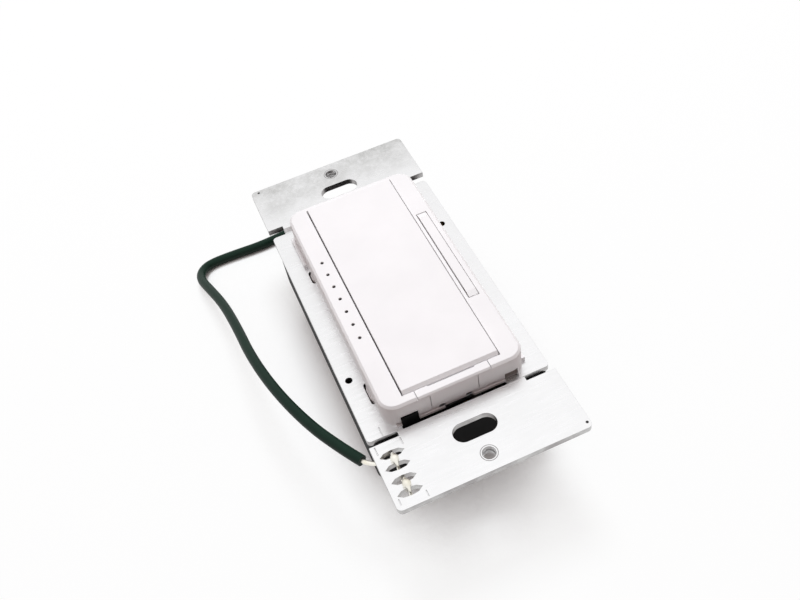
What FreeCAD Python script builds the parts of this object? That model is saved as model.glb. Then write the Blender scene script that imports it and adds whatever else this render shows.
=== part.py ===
# A smart dimmer switch for a wall box, lying on its back as it would on a bench.
#
# Frame: +Z points out of the switch's front, +Y to its top end, +X to the right seen from the front.
# The origin is on the surface that the back cover rests on, below the middle of the mounting yoke.
# All sizes are in millimetres.

import FreeCAD, Part
import math
import os

import Sketcher
from FreeCAD import Placement, Rotation, Vector

doc = FreeCAD.newDocument("SmartDimmer")
sheet = doc.addObject("Spreadsheet::Sheet", "Sizes")

# Driving dimensions: alias, value, what it measures
SIZES = [
    # Heights, from the bench up
    ("cover_height", 9.3, "back cover's height"),
    ("body_height", 14.0, "housing body, from the back cover to the yoke"),
    ("yoke_sheet", 1.6, "thickness of the yoke's aluminium sheet"),
    ("yoke_step", 1.1, "how far the middle of the yoke is set back from its flanges"),
    ("frame_rise", 5.8, "front frame's face above the flanges"),
    # Front frame
    ("frame_width", 33.2, "front frame, side to side"),
    ("frame_length", 66.8, "front frame, end to end"),
    ("frame_corner", 3.6, "front frame's corner radius"),
    ("frame_edge", 0.55, "bevel of the front frame's front edge"),
    ("frame_wall", 1.6, "front frame's side wall"),
    ("frame_face", 1.8, "front frame's face plate"),
    ("lip_depth", 0.3, "foot lip's reach beyond the frame's end walls"),
    ("lip_height", 0.7, "top of the foot lip above the middle of the yoke"),
    ("lip_groove", 0.35, "height of the groove above the foot lip"),
    ("groove_depth", 0.6, "depth of that groove in the end wall"),
    ("rail_width", 0.9, "foot rail beside the frame's long walls"),
    ("rail_height", 1.1, "foot rail's height"),
    ("rail_setback", 13.4, "frame's end to the near end of a foot rail"),
    ("rail_length", 10.5, "foot rail's length"),
    ("recess_inset", 3.8, "frame's side to the middle of the shallow recess in an end wall"),
    ("recess_width", 3.2, "shallow recess in an end wall"),
    ("recess_rise", 1.35, "top of that recess above the flanges"),
    # Yoke
    ("yoke_overhang", 5.3, "yoke's flanges beyond the frame's sides"),
    ("yoke_corner", 1.2, "corner radius of the yoke's flanges"),
    ("strip_inset", 0.3, "side strips' edges inside the flanges' edges"),
    ("strip_corner", 0.95, "corner radius of the side strips"),
    ("step_start", 1.0, "frame's end to the foot of the slope up to a flange"),
    ("step_run", 0.6, "length of that slope"),
    ("notch_start", 0.75, "frame's end to the notch between a side strip and a flange"),
    ("notch_width", 2.0, "that notch's width"),
    ("notch_bottom_web", 1.55, "metal between a bottom notch and the gap for the body's tongue"),
    ("notch_top_web", 4.55, "metal between a top notch and the gap for the body's tongue"),
    ("slot_start", 8.27, "frame's end to the middle of a box-screw slot"),
    ("slot_length", 10.0, "box-screw slot, end to end"),
    ("slot_width", 4.8, "box-screw slot's width"),
    ("slot_to_hole", 6.75, "box-screw slot to wall-plate screw hole, centre to centre"),
    ("plate_hole", 3.0, "wall-plate screw hole's diameter"),
    ("hole_to_end", 3.98, "wall-plate screw hole to the yoke's end"),
    ("collar_width", 5.0, "drawn collar round a wall-plate screw hole, diameter"),
    ("collar_drop", 1.0, "how far the collar stands out behind the flange"),
    ("lance_inset", 3.9, "middle of the ground wire's lanced slots inside the flange's edge"),
    ("lance_length", 5.6, "lanced slot, tip to tip"),
    ("lance_width", 1.9, "lanced slot's width"),
    ("lance_pitch", 3.15, "from one lanced slot to the next of its pair"),
    ("lance_pairs", 6.45, "from one pair of lanced slots to the next"),
    ("lance_to_end", 3.3, "last lanced slot to the yoke's end"),
    ("score_width", 0.22, "short score lines at the lanced corner, width"),
    ("score_depth", 0.25, "depth of the score lines"),
    ("vent_width", 1.65, "small round hole in each side strip, diameter"),
    ("vent_left", 2.9, "frame's side to the left strip's small hole"),
    ("vent_right", 2.2, "frame's side to the right strip's small hole"),
    ("vent_along", 17.1, "middle of the yoke to the strips' small holes"),
    # Tap switch
    ("divider", 0.8, "frame's face between the tap switch and the dimming rocker"),
    ("top_border", 1.9, "frame's end to the tap switch's top end"),
    ("bottom_border", 2.5, "frame's end to the tap switch's bottom end"),
    ("paddle_gap", 0.3, "gap all round the tap switch"),
    ("paddle_plate", 2.0, "thickness of the tap switch"),
    ("paddle_proud", 0.5, "how far the tap switch stands above the frame"),
    ("paddle_bevel", 0.7, "bevel along the tap switch's lower edge"),
    ("pivot_setback", 4.5, "tap switch's top end to its pivot"),
    ("pivot_drop", 3.0, "frame's face to the tap switch's pivot"),
    ("pivot_radius", 0.8, "tap switch's pivot pin"),
    ("running_gap", 0.05, "radial clearance of every pin that turns"),
    ("bearing_width", 1.6, "thickness of the frame's bearing ribs"),
    ("tap_reach", 10.9, "tap switch's bottom end to the leg that taps"),
    ("tap_travel", 0.82, "rest clearance under the tap switch's leg"),
    # Dimming rocker
    ("rocker_width", 2.3, "dimming rocker, side to side"),
    ("rocker_length", 30.0, "dimming rocker, end to end"),
    ("rocker_shift", 1.4, "dimming rocker's middle above the frame's middle"),
    ("rocker_gap", 0.2, "gap round the dimming rocker"),
    ("rocker_plate", 2.6, "thickness of the dimming rocker"),
    ("rocker_proud", 0.3, "how far the dimming rocker stands above the frame"),
    ("rocker_dip", 0.35, "how far the dimming rocker's ends slope down"),
    ("rocker_pivot", 3.2, "frame's face to the dimming rocker's pin"),
    ("rocker_pin", 0.6, "radius of the dimming rocker's pin"),
    ("rocker_reach", 9.0, "dimming rocker's pin to each of its legs"),
    ("rocker_travel", 0.4, "rest clearance under the dimming rocker's legs"),
    # Service tab
    ("tab_inset", 2.75, "tap switch's side to the service tab's end"),
    ("tab_shift", 0.25, "service tab's middle left of the frame's middle"),
    ("tab_sheet", 0.7, "service tab's plate in the frame's face"),
    ("panel_inset", 2.95, "service tab's end to its wall panel"),
    ("panel_shift", 0.25, "wall panel's middle left of the service tab's middle"),
    ("panel_sheet", 1.4, "wall panel's thickness"),
    ("tab_gap", 0.15, "gap beside the service tab"),
    ("tab_foot", 0.3, "flange to the frame's wall under the panel"),
    ("toe_width", 4.9, "toe below the middle of the panel"),
    ("toe_gap", 1.45, "open corner on each side of the toe"),
    ("contact_width", 2.6, "air-gap contact strips, side to side"),
    ("contact_sheet", 0.4, "air-gap contact strips' thickness"),
    ("contact_gap", 0.3, "tap switch's tactile switch to the air-gap contacts"),
    # Snap tongues of the housing body
    ("tongue_inset", 5.35, "frame's side to the middle of a snap tongue"),
    ("tongue_width", 3.8, "snap tongue, side to side"),
    ("tongue_thick", 1.2, "snap tongue's thickness"),
    ("tongue_rise", 1.7, "top of a snap tongue above the flanges"),
    ("tongue_proud", 0.4, "snap tongue's face beyond the frame's end wall"),
    ("tongue_gap", 0.3, "gap in the yoke beside a snap tongue"),
    # Indicator lights
    ("guide_width", 1.6, "light guide's bar, side to side"),
    ("guide_gap", 0.35, "light guide's bar to the frame's wall"),
    ("led_pitch", 4.25, "from one indicator light to the next"),
    ("led_shift", 0.3, "middle of the row above the frame's middle"),
    ("led_hole", 0.8, "indicator hole, across"),
    # Housing body and back cover
    ("body_inset", 0.7, "housing body's sides inside the yoke's sides"),
    ("body_overhang", 1.5, "housing body's ends beyond the frame's ends"),
    ("body_wall", 1.6, "housing body's wall"),
    ("body_corner", 2.4, "housing body's corner radius"),
    ("cover_inset", 0.8, "back cover's sides inside the housing body's sides"),
    ("cover_setback", 4.9, "back cover's ends inside the housing body's ends"),
    ("cover_wall", 1.6, "back cover's wall and floor"),
    ("cover_corner", 3.0, "back cover's corner radius"),
    ("cover_edge", 0.9, "bevel round the back cover's back"),
    ("screw_inset", 4.9, "cover's side to a cover screw"),
    ("screw_setback", 2.8, "cover's end to a cover screw"),
    ("screw_radius", 1.1, "cover screw's shank"),
    ("screw_head", 2.0, "cover screw's head radius"),
    ("screw_sink", 2.6, "depth of a cover screw's counterbore"),
    ("head_gap", 0.2, "gap round a cover screw's head"),
    ("screw_web", 1.3, "back cover's wall round a counterbore"),
    ("boss_radius", 2.75, "housing body's screw bosses"),
    ("boss_height", 6.7, "housing body's screw bosses, height"),
    # Circuit board and what stands on it
    ("board_clearance", 3.7, "back cover's rim to the circuit board's underside"),
    ("board_sheet", 1.6, "circuit board's thickness"),
    ("board_side_gap", 0.6, "circuit board to the housing body's side walls"),
    ("board_end_gap", 0.95, "circuit board to the screw bosses"),
    ("ledge_length", 4.7, "ledge under the circuit board"),
    ("ledge_setback", 1.9, "circuit board's end to a ledge"),
    ("button_size", 6.0, "tactile switch's side"),
    ("button_body", 3.5, "tactile switch's body height"),
    ("button_rise", 1.9, "tactile switch's plunger above its body"),
    ("plunger_radius", 1.75, "tactile switch's plunger"),
    ("chip_width", 6.0, "control chip, side to side"),
    ("chip_length", 5.0, "control chip, end to end"),
    ("chip_height", 1.2, "control chip's height"),
    ("chip_side", 3.5, "circuit board's side to the control chip"),
    ("chip_end", 3.0, "circuit board's end to the control chip"),
    ("film_width", 10.0, "film capacitor, side to side"),
    ("film_side", 1.0, "circuit board's side to the film capacitor"),
    ("film_end", 1.5, "circuit board's end to the film capacitor"),
    ("film_gap", 1.6, "upper tactile switch to the film capacitor"),
    ("film_drop", 1.7, "yoke to the top of the film capacitor"),
    ("can_radius", 2.8, "electrolytic capacitor's radius"),
    ("can_gap", 3.2, "tactile switch to the electrolytic capacitor"),
    ("can_drop", 0.7, "yoke to the top of the electrolytic capacitor"),
    ("transistor_place", 3.0, "power transistor's middle left of the frame's middle"),
    ("transistor_start", 6.0, "middle of the frame to the power transistor"),
    ("transistor_width", 10.0, "power transistor, side to side"),
    ("transistor_length", 15.0, "power transistor with its tab"),
    ("transistor_case", 9.0, "power transistor's case, without the bare tab"),
    ("transistor_height", 4.4, "power transistor's case, height"),
    ("transistor_tab", 1.3, "power transistor's tab, thickness"),
    ("transistor_pitch", 2.54, "from one leg of the power transistor to the next"),
    ("rivet_along", 12.0, "power transistor's lower end to its rivet"),
    ("rivet_radius", 1.55, "rivet's shank"),
    ("rivet_head", 2.8, "rivet's head radius"),
    ("choke_wire", 0.8, "choke winding's wire"),
    ("choke_bore", 3.4, "choke core's inner radius"),
    ("choke_gap", 1.92, "choke winding to its neighbours along the board"),
    ("choke_drop", 1.94, "yoke to the top of the choke winding"),
    # Terminals
    ("terminal_web", 1.05, "cover screw's counterbore to the nearest terminal pocket"),
    ("terminal_fin", 1.0, "wall between two terminal pockets"),
    ("terminal_depth", 10.0, "terminal pocket's depth"),
    ("terminal_roof", 1.3, "back cover above a terminal pocket"),
    ("terminal_lift", 0.2, "terminal screw above the middle of its pocket"),
    ("terminal_shank", 1.5, "terminal screw's shank radius"),
    ("terminal_head", 2.6, "terminal screw's head radius"),
    ("terminal_crown", 1.8, "terminal screw's head, thickness"),
    ("terminal_plate", 1.0, "terminal plate's thickness"),
    ("plate_gap", 0.55, "terminal plate to its pocket's sides"),
    ("wire_gap", 1.2, "gap for a wire under a terminal screw's head"),
    # Ground lead
    ("lead_diameter", 2.55, "ground lead over its green insulation"),
    ("conductor_diameter", 1.0, "ground lead's bare conductor"),
    ("bare_tip", 8.0, "stripped length at the ground lead's far end"),
    ("crown_width", 1.5, "widest place of the conductor where it crosses the flange"),
]

LED_COUNT = 7
CORD_SHARE = 0.45  # share of the shorter run that each rounded corner of a wire takes up

for row, (alias, value, meaning) in enumerate(SIZES, start=1):
    sheet.set(f"A{row}", meaning)
    sheet.set(f"B{row}", str(value))
    sheet.setAlias(f"B{row}", alias)
doc.recompute()


class Size:
    """A number in millimetres that also knows its expression on the sheet."""

    def __init__(self, value, text):
        self.value = float(value)
        self.text = text

    def __add__(self, other):
        other = as_size(other)
        return Size(self.value + other.value, f"({self.text} + {other.text})")

    def __sub__(self, other):
        other = as_size(other)
        return Size(self.value - other.value, f"({self.text} - {other.text})")

    def __rsub__(self, other):
        return as_size(other) - self

    def __mul__(self, factor):
        return Size(self.value * factor, f"({self.text} * {factor})")

    def __truediv__(self, factor):
        return Size(self.value / factor, f"({self.text} / {factor})")

    def __neg__(self):
        return Size(-self.value, f"(0 - {self.text})")


def as_size(number):
    """A plain number as a Size, and a Size as it is."""
    return number if isinstance(number, Size) else Size(number, repr(float(number)))


class SheetSizes:
    """Every alias of the sheet as an attribute."""

    def __getattr__(self, alias):
        return Size(sheet.get(alias), f"Sizes.{alias}")


s = SheetSizes()

# Levels that several pieces share
middle_back = s.cover_height + s.body_height
middle_front = middle_back + s.yoke_sheet
flange_front = middle_front + s.yoke_step
flange_back = flange_front - s.yoke_sheet
frame_front = flange_front + s.frame_rise
face_back = frame_front - s.frame_face
tab_seat = frame_front - s.tab_sheet
paddle_front = frame_front + s.paddle_proud
paddle_back = paddle_front - s.paddle_plate
pivot_level = frame_front - s.pivot_drop
rocker_level = frame_front - s.rocker_pivot
rocker_front = frame_front + s.rocker_proud
rocker_back = rocker_front - s.rocker_plate
body_base = s.cover_height
body_floor = body_base + s.body_wall
board_level = body_base + s.board_clearance
board_top = board_level + s.board_sheet
button_top = board_top + s.button_body + s.button_rise

# Half widths and half lengths of what fits together, from the front frame outwards
frame_half_width = s.frame_width / 2
frame_half_length = s.frame_length / 2
inside_half_width = frame_half_width - s.frame_wall
inside_half_length = frame_half_length - s.frame_wall
yoke_half_width = frame_half_width + s.yoke_overhang
slot_along = frame_half_length + s.slot_start
plate_along = slot_along + s.slot_to_hole
yoke_half_length = plate_along + s.hole_to_end
strip_half_width = yoke_half_width - s.strip_inset
step_low = frame_half_length + s.step_start
step_high = step_low + s.step_run
notch_near = frame_half_length + s.notch_start
notch_far = notch_near + s.notch_width
body_half_width = yoke_half_width - s.body_inset
body_half_length = frame_half_length + s.body_overhang
body_in_width = body_half_width - s.body_wall
body_in_length = body_half_length - s.body_wall
cover_half_width = body_half_width - s.cover_inset
cover_half_length = body_half_length - s.cover_setback
screw_across = cover_half_width - s.screw_inset
screw_along = cover_half_length - s.screw_setback
board_half_width = body_in_width - s.board_side_gap
board_half_length = screw_along - s.boss_radius - s.board_end_gap

# Places in the front frame, from its walls inwards
rocker_place = inside_half_width - s.rocker_gap - s.rocker_width / 2
rocker_left = rocker_place - s.rocker_width / 2
rocker_slot_left = rocker_left - s.rocker_gap
window_half_width = rocker_slot_left - s.divider
paddle_half_width = window_half_width - s.paddle_gap
paddle_top_end = frame_half_length - s.top_border
paddle_low_end = s.bottom_border - frame_half_length
window_top_end = paddle_top_end + s.paddle_gap
window_low_end = paddle_low_end - s.paddle_gap
bearing_near = window_half_width + 0.3
bearing_far = bearing_near + s.bearing_width
pivot_along = paddle_top_end - s.pivot_setback
tap_along = paddle_low_end + s.tap_reach
guide_place = -(inside_half_width - s.guide_gap - s.guide_width / 2)
row_half = s.led_pitch * ((LED_COUNT - 1) / 2)
tab_middle = -s.tab_shift
tab_half = paddle_half_width - s.tab_inset
panel_middle = tab_middle - s.panel_shift
panel_half = tab_half - s.panel_inset
airgap_place = s.button_size / 2 + s.contact_gap + s.contact_width / 2
airgap_leg_half = s.contact_width / 2 - 0.05
tongue_place = frame_half_width - s.tongue_inset
tongue_near = tongue_place - s.tongue_width / 2
tongue_far = tongue_place + s.tongue_width / 2
tongue_face = frame_half_length + s.tongue_proud
recess_near = frame_half_width - s.recess_inset - s.recess_width / 2
recess_far = frame_half_width - s.recess_inset + s.recess_width / 2
rail_start = frame_half_length - s.rail_setback

# The power transistor, its rivet, and the terminals
transistor_middle = -s.transistor_place
rivet_along = s.transistor_start + s.rivet_along
terminal_half = screw_across - s.screw_head - s.head_gap - s.terminal_web
terminal_width = (terminal_half * 2 - s.terminal_fin * 2) / 3
terminal_pitch = terminal_width + s.terminal_fin
terminal_height = s.cover_height - s.terminal_roof
terminal_axis = terminal_height / 2 + s.terminal_lift
terminal_face = s.terminal_depth - cover_half_length

sub_parts = []


def keep(item, label):
    """Mark an object as a sub-part that is written to its own file."""
    item.Label = label
    sub_parts.append(item)
    return item


def tie(item, property_name, size):
    """Bind a property or constraint to an expression on the sheet."""
    item.setExpression(property_name, as_size(size).text)


def new_body(label):
    return keep(doc.addObject("PartDesign::Body", label + "_body"), label)


def new_sketch(body, name, level, role="XY_Plane"):
    """A sketch on one of the body's origin planes, raised along the plane's normal."""
    sketch = body.newObject("Sketcher::SketchObject", name)
    plane = next(f for f in body.Origin.OriginFeatures if f.Role == role)
    sketch.AttachmentSupport = (plane, [""])
    sketch.MapMode = "FlatFace"
    level = as_size(level)
    sketch.AttachmentOffset = Placement(Vector(0, 0, level.value), Rotation())
    tie(sketch, "AttachmentOffset.Base.z", level)
    return sketch


def hold_point(sketch, geometry, point, x, y):
    """Dimension a point of the sketch from the origin."""
    for kind, size in (("DistanceX", as_size(x)), ("DistanceY", as_size(y))):
        index = sketch.addConstraint(Sketcher.Constraint(kind, -1, 1, geometry, point, size.value))
        tie(sketch, f"Constraints[{index}]", size)


def draw_polygon(sketch, corners):
    """A closed outline with every corner dimensioned from the sketch's origin."""
    points = [Vector(as_size(x).value, as_size(y).value, 0) for x, y in corners]
    first = sketch.GeometryCount
    for here, there in zip(points, points[1:] + points[:1]):
        sketch.addGeometry(Part.LineSegment(here, there), False)
    count = len(points)
    for number in range(count):
        following = (number + 1) % count
        sketch.addConstraint(Sketcher.Constraint("Coincident", first + number, 2, first + following, 1))
    for number, (x, y) in enumerate(corners):
        hold_point(sketch, first + number, 1, x, y)


def draw_box(sketch, low_x, high_x, low_y, high_y):
    draw_polygon(sketch, [(low_x, low_y), (high_x, low_y), (high_x, high_y), (low_x, high_y)])


def draw_regular(sketch, x, y, flat_radius, sides=8):
    """A regular polygon whose flats touch a circle of this radius: a plain hole for a small pin."""
    x, y = as_size(x), as_size(y)
    reach = as_size(flat_radius) / math.cos(math.pi / sides)
    corners = []
    for number in range(sides):
        angle = 2 * math.pi * (number + 0.5) / sides
        corners.append((x + reach * math.cos(angle), y + reach * math.sin(angle)))
    draw_polygon(sketch, corners)


def draw_leaf(sketch, x, y, length, width):
    """A leaf-shaped opening with its tips on the X axis."""
    x, y, reach, side = as_size(x), as_size(y), length / 2, width / 2
    outline = ((-1, 0), (-0.6, -0.8), (0, -1), (0.6, -0.8), (1, 0), (0.6, 0.8), (0, 1), (-0.6, 0.8))
    draw_polygon(sketch, [(x + reach * across, y + side * along) for across, along in outline])


def draw_circle(sketch, x, y, radius):
    radius = as_size(radius)
    centre = Vector(as_size(x).value, as_size(y).value, 0)
    number = sketch.addGeometry(Part.Circle(centre, Vector(0, 0, 1), radius.value), False)
    hold_point(sketch, number, 3, x, y)
    index = sketch.addConstraint(Sketcher.Constraint("Radius", number, radius.value))
    tie(sketch, f"Constraints[{index}]", radius)


def draw_slot(sketch, x, y, length, width, along="X"):
    """A slot with round ends, its middle at x, y."""
    x, y, length, width = (as_size(size) for size in (x, y, length, width))
    radius = width / 2
    reach = (length - width) / 2
    if along == "X":
        ends = ((x - reach, y), (x + reach, y))
        turn = 0.5 * math.pi
    else:
        ends = ((x, y - reach), (x, y + reach))
        turn = math.pi
    first = sketch.GeometryCount
    arcs = []
    for (centre_x, centre_y), start in zip(ends, (turn, turn + math.pi)):
        circle = Part.Circle(Vector(centre_x.value, centre_y.value, 0), Vector(0, 0, 1), radius.value)
        arc = Part.ArcOfCircle(circle, start, start + math.pi)
        sketch.addGeometry(arc, False)
        arcs.append(arc)
    sketch.addGeometry(Part.LineSegment(arcs[0].EndPoint, arcs[1].StartPoint), False)
    sketch.addGeometry(Part.LineSegment(arcs[1].EndPoint, arcs[0].StartPoint), False)
    for arc, arc_end, line, line_end in ((0, 2, 2, 1), (1, 1, 2, 2), (1, 2, 3, 1), (0, 1, 3, 2)):
        sketch.addConstraint(
            Sketcher.Constraint("Tangent", first + arc, arc_end, first + line, line_end)
        )
    sketch.addConstraint(Sketcher.Constraint("Equal", first, first + 1))
    for number, (centre_x, centre_y) in enumerate(ends):
        hold_point(sketch, first + number, 3, centre_x, centre_y)
    index = sketch.addConstraint(Sketcher.Constraint("Radius", first, radius.value))
    tie(sketch, f"Constraints[{index}]", radius)


def pad(body, sketch, length, symmetric=False):
    """Grow a sketch along its normal, or to both sides of it."""
    feature = body.newObject("PartDesign::Pad", sketch.Name + "_pad")
    feature.Profile = sketch
    feature.Length = as_size(length).value
    tie(feature, "Length", length)
    if symmetric:
        feature.SideType = "Symmetric"
    doc.recompute()
    return feature


def cut(body, sketch, depth, along_normal=True, symmetric=False):
    """Cut a sketch out of the body and make sure that it took something away."""
    before = body.Shape.Volume
    feature = body.newObject("PartDesign::Pocket", sketch.Name + "_cut")
    feature.Profile = sketch
    feature.Length = as_size(depth).value
    tie(feature, "Length", depth)
    feature.Reversed = along_normal
    if symmetric:
        feature.SideType = "Symmetric"
    doc.recompute()
    if body.Shape.Volume >= before:
        raise RuntimeError(f"{body.Label}: {sketch.Name} cuts nothing")
    return feature


def soften_edges(body, kind, name, property_name, size, wanted):
    """Fillet or chamfer the edges of the body's last feature that the test picks."""
    tip = body.Tip
    names = [f"Edge{n}" for n, edge in enumerate(tip.Shape.Edges, start=1) if wanted(edge)]
    feature = body.newObject("PartDesign::" + kind, name)
    feature.Base = (tip, names)
    setattr(feature, property_name, as_size(size).value)
    tie(feature, property_name, size)
    doc.recompute()
    return feature


def round_edges(body, name, radius, wanted):
    return soften_edges(body, "Fillet", name, "Radius", radius, wanted)


def bevel_edges(body, name, size, wanted):
    return soften_edges(body, "Chamfer", name, "Size", size, wanted)


def is_upright(edge):
    box = edge.BoundBox
    return box.ZLength > 0.5 and box.XLength < 1e-4 and box.YLength < 1e-4


def outer_corner(half_width, half_length):
    """A test for the upright edges at the corners of a rectangle about the origin."""

    def wanted(edge):
        middle = edge.BoundBox.Center
        on_side = abs(abs(middle.x) - half_width.value) < 1e-3
        return is_upright(edge) and on_side and abs(abs(middle.y) - half_length.value) < 1e-3

    return wanted


def rim_at(level, half_width, half_length):
    """A test for the outer edges of a rectangular piece's flat end at a level."""

    def wanted(edge):
        box = edge.BoundBox
        flat = box.ZLength < 1e-4 and abs(box.ZMin - level.value) < 1e-3
        side = max(abs(box.XMin), abs(box.XMax)) > half_width.value - 1e-3
        end = max(abs(box.YMin), abs(box.YMax)) > half_length.value - 1e-3
        return flat and (side or end)

    return wanted


def block(name, x, y, z, low=(0, 0, 0)):
    """A Part box by its three sizes and its lowest corner."""
    item = doc.addObject("Part::Box", name)
    for prop, size in zip(("Length", "Width", "Height"), (x, y, z)):
        setattr(item, prop, as_size(size).value)
        tie(item, prop, size)
    place(item, low)
    return item


def rod(name, radius, height, start, direction="Z", sides=0):
    """A Part cylinder along an axis, or a prism with this many sides where nobody sees it."""
    item = doc.addObject("Part::Prism" if sides else "Part::Cylinder", name)
    if sides:
        item.Polygon = sides
    across = "Circumradius" if sides else "Radius"
    for prop, size in ((across, radius), ("Height", height)):
        setattr(item, prop, as_size(size).value)
        tie(item, prop, size)
    turns = {"Z": Rotation(), "X": Rotation(Vector(0, 1, 0), 90), "Y": Rotation(Vector(1, 0, 0), -90)}
    place(item, start, turns[direction])
    return item


def place(item, corner, rotation=None):
    x, y, z = (as_size(size) for size in corner)
    item.Placement = Placement(Vector(x.value, y.value, z.value), rotation or Rotation())
    for axis, size in zip("xyz", (x, y, z)):
        tie(item, f"Placement.Base.{axis}", size)


def fuse(label, pieces):
    item = doc.addObject("Part::MultiFuse", label + "_fuse")
    item.Shapes = pieces
    return item


def subtract(label, base, tool):
    item = doc.addObject("Part::Cut", label + "_cut")
    item.Base = base
    item.Tool = tool
    return item


def group(label, pieces):
    """Several separate solids that share one node."""
    item = doc.addObject("Part::Compound", label + "_group")
    item.Links = pieces
    return item


def lance_along(pair, member):
    """Distance of a lanced slot below the middle of the yoke."""
    return yoke_half_length - s.lance_to_end - s.lance_pairs * (1 - pair) - s.lance_pitch * (1 - member)


def make_yoke():
    """One sheet, joggled at both ends, then pierced: the switch's carrier, ground and heat sink."""
    body = new_body("mounting_yoke")
    half = yoke_half_length
    sheet_end = step_high + s.step_run
    profile = new_sketch(body, "yoke_profile", 0, "YZ_Plane")
    top = [(-half, flange_front), (-step_high, flange_front), (-step_low, middle_front)]
    top += [(step_low, middle_front), (step_high, flange_front), (half, flange_front)]
    under = [(half, flange_back), (sheet_end, flange_back), (step_high, middle_back)]
    under += [(-step_high, middle_back), (-sheet_end, flange_back), (-half, flange_back)]
    draw_polygon(profile, top + under)
    pad(body, profile, yoke_half_width * 2, symmetric=True)
    round_edges(body, "yoke_corners", s.yoke_corner, outer_corner(yoke_half_width, half))

    collars = new_sketch(body, "yoke_collars", flange_back - s.collar_drop)
    for side in (-1, 1):
        draw_circle(collars, 0, plate_along * side, s.collar_width / 2)
    pad(body, collars, s.collar_drop)

    below, through = flange_back - s.collar_drop - 1, s.yoke_sheet + s.collar_drop + 2
    ends = new_sketch(body, "yoke_end_holes", below)
    lance_place = yoke_half_width - s.lance_inset
    for side in (-1, 1):
        draw_slot(ends, 0, slot_along * side, s.slot_length, s.slot_width)
        draw_circle(ends, 0, plate_along * side, s.plate_hole / 2)
    for pair in (0, 1):
        for member in (0, 1):
            draw_leaf(ends, -lance_place, -lance_along(pair, member), s.lance_length, s.lance_width)
    cut(body, ends, through)

    # The strips are a little narrower than the flanges, and notches part them from the flanges.
    edge = yoke_half_width + 1
    notch_top = tongue_far + s.tongue_gap + s.notch_top_web
    notch_bottom = tongue_far + s.tongue_gap + s.notch_bottom_web
    outline = new_sketch(body, "yoke_outline", below)
    for side in (-1, 1):
        x_edge, x_strip = edge * side, strip_half_width * side
        x_top, x_bottom = notch_top * side, notch_bottom * side
        draw_polygon(outline, [
            (x_edge, notch_far), (x_top, notch_far), (x_top, notch_near), (x_strip, notch_near),
            (x_strip, -notch_near), (x_bottom, -notch_near), (x_bottom, -notch_far), (x_edge, -notch_far),
        ])
    cut(body, outline, through)
    round_edges(body, "yoke_strip_corners", s.strip_corner, outer_corner(strip_half_width, notch_near))

    # Openings of the middle: light guide, rocker legs, tap switch leg, service tab leg, rivet,
    # scallops beside the frame, the strips' small holes, and the end gaps with the tongues' windows.
    middle = new_sketch(body, "yoke_middle_holes", below)
    guide_half = s.guide_width / 2 + 0.3
    draw_box(
        middle, guide_place - guide_half, guide_place + guide_half,
        s.led_shift - row_half - 1.6, s.led_shift + row_half + 1.6,
    )
    for side in (-1, 1):
        leg = s.rocker_shift + s.rocker_reach * side
        draw_box(middle, rocker_place - 1.3, rocker_place + 1.3, leg - 1.6, leg + 1.6)
    draw_slot(middle, 0.2 - frame_half_width, -(rail_start + 2.6), 6.2, 1.5, "Y")
    draw_slot(middle, 0.2 - frame_half_width, rail_start - 3.76, 4.4, 1.7, "Y")
    draw_box(middle, -2.5, 2.5, tap_along - 2.5, tap_along + 2.5)
    draw_box(
        middle, airgap_place - airgap_leg_half - 0.65, airgap_place + airgap_leg_half + 0.65,
        -inside_half_length - 0.8, -inside_half_length + 1.2,
    )
    draw_regular(middle, transistor_middle, rivet_along, s.rivet_radius + 0.1)
    draw_regular(middle, -frame_half_width - s.vent_left, -s.vent_along, s.vent_width / 2, 12)
    draw_regular(middle, frame_half_width + s.vent_right, s.vent_along, s.vent_width / 2, 12)
    for side in (-1, 1):
        near, far = (tongue_near - s.tongue_gap) * side, (tongue_far + s.tongue_gap) * side
        gap_start, gap_end = (frame_half_length - 0.4) * side, (step_high + 0.05) * side
        behind = (tongue_face - s.tongue_thick - s.tongue_gap) * side
        draw_polygon(middle, [
            (far, gap_end), (far, behind), (near, behind), (near, gap_start),
            (recess_near * -side, gap_start), (recess_near * -side, gap_end),
        ])
    cut(body, middle, through)

    # Short score lines round the corner where the ground wire is laced
    scores = new_sketch(body, "yoke_scores", flange_front - s.score_depth)
    half_line = s.score_width / 2
    inner_line, outer_line = -(lance_place - 3.0), -(lance_place + 2.8)
    for line, start, length in (
        (inner_line, step_high + 1.6, 1.7), (outer_line, step_high + 1.5, 2.1),
        (inner_line, half - 2.1, 1.5), (outer_line, half - 2.7, 1.5),
    ):
        draw_box(scores, line - half_line, line + half_line, -(start + length), -start)
    cut(body, scores, s.score_depth + 1)
    strip_score = new_sketch(body, "yoke_strip_score", middle_front - s.score_depth)
    line = -(frame_half_width + 1.4)
    draw_box(strip_score, line - half_line, line + half_line, -(notch_near - 0.1), -(notch_near - 2.6))
    cut(body, strip_score, s.score_depth + 0.5)
    return body


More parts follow.
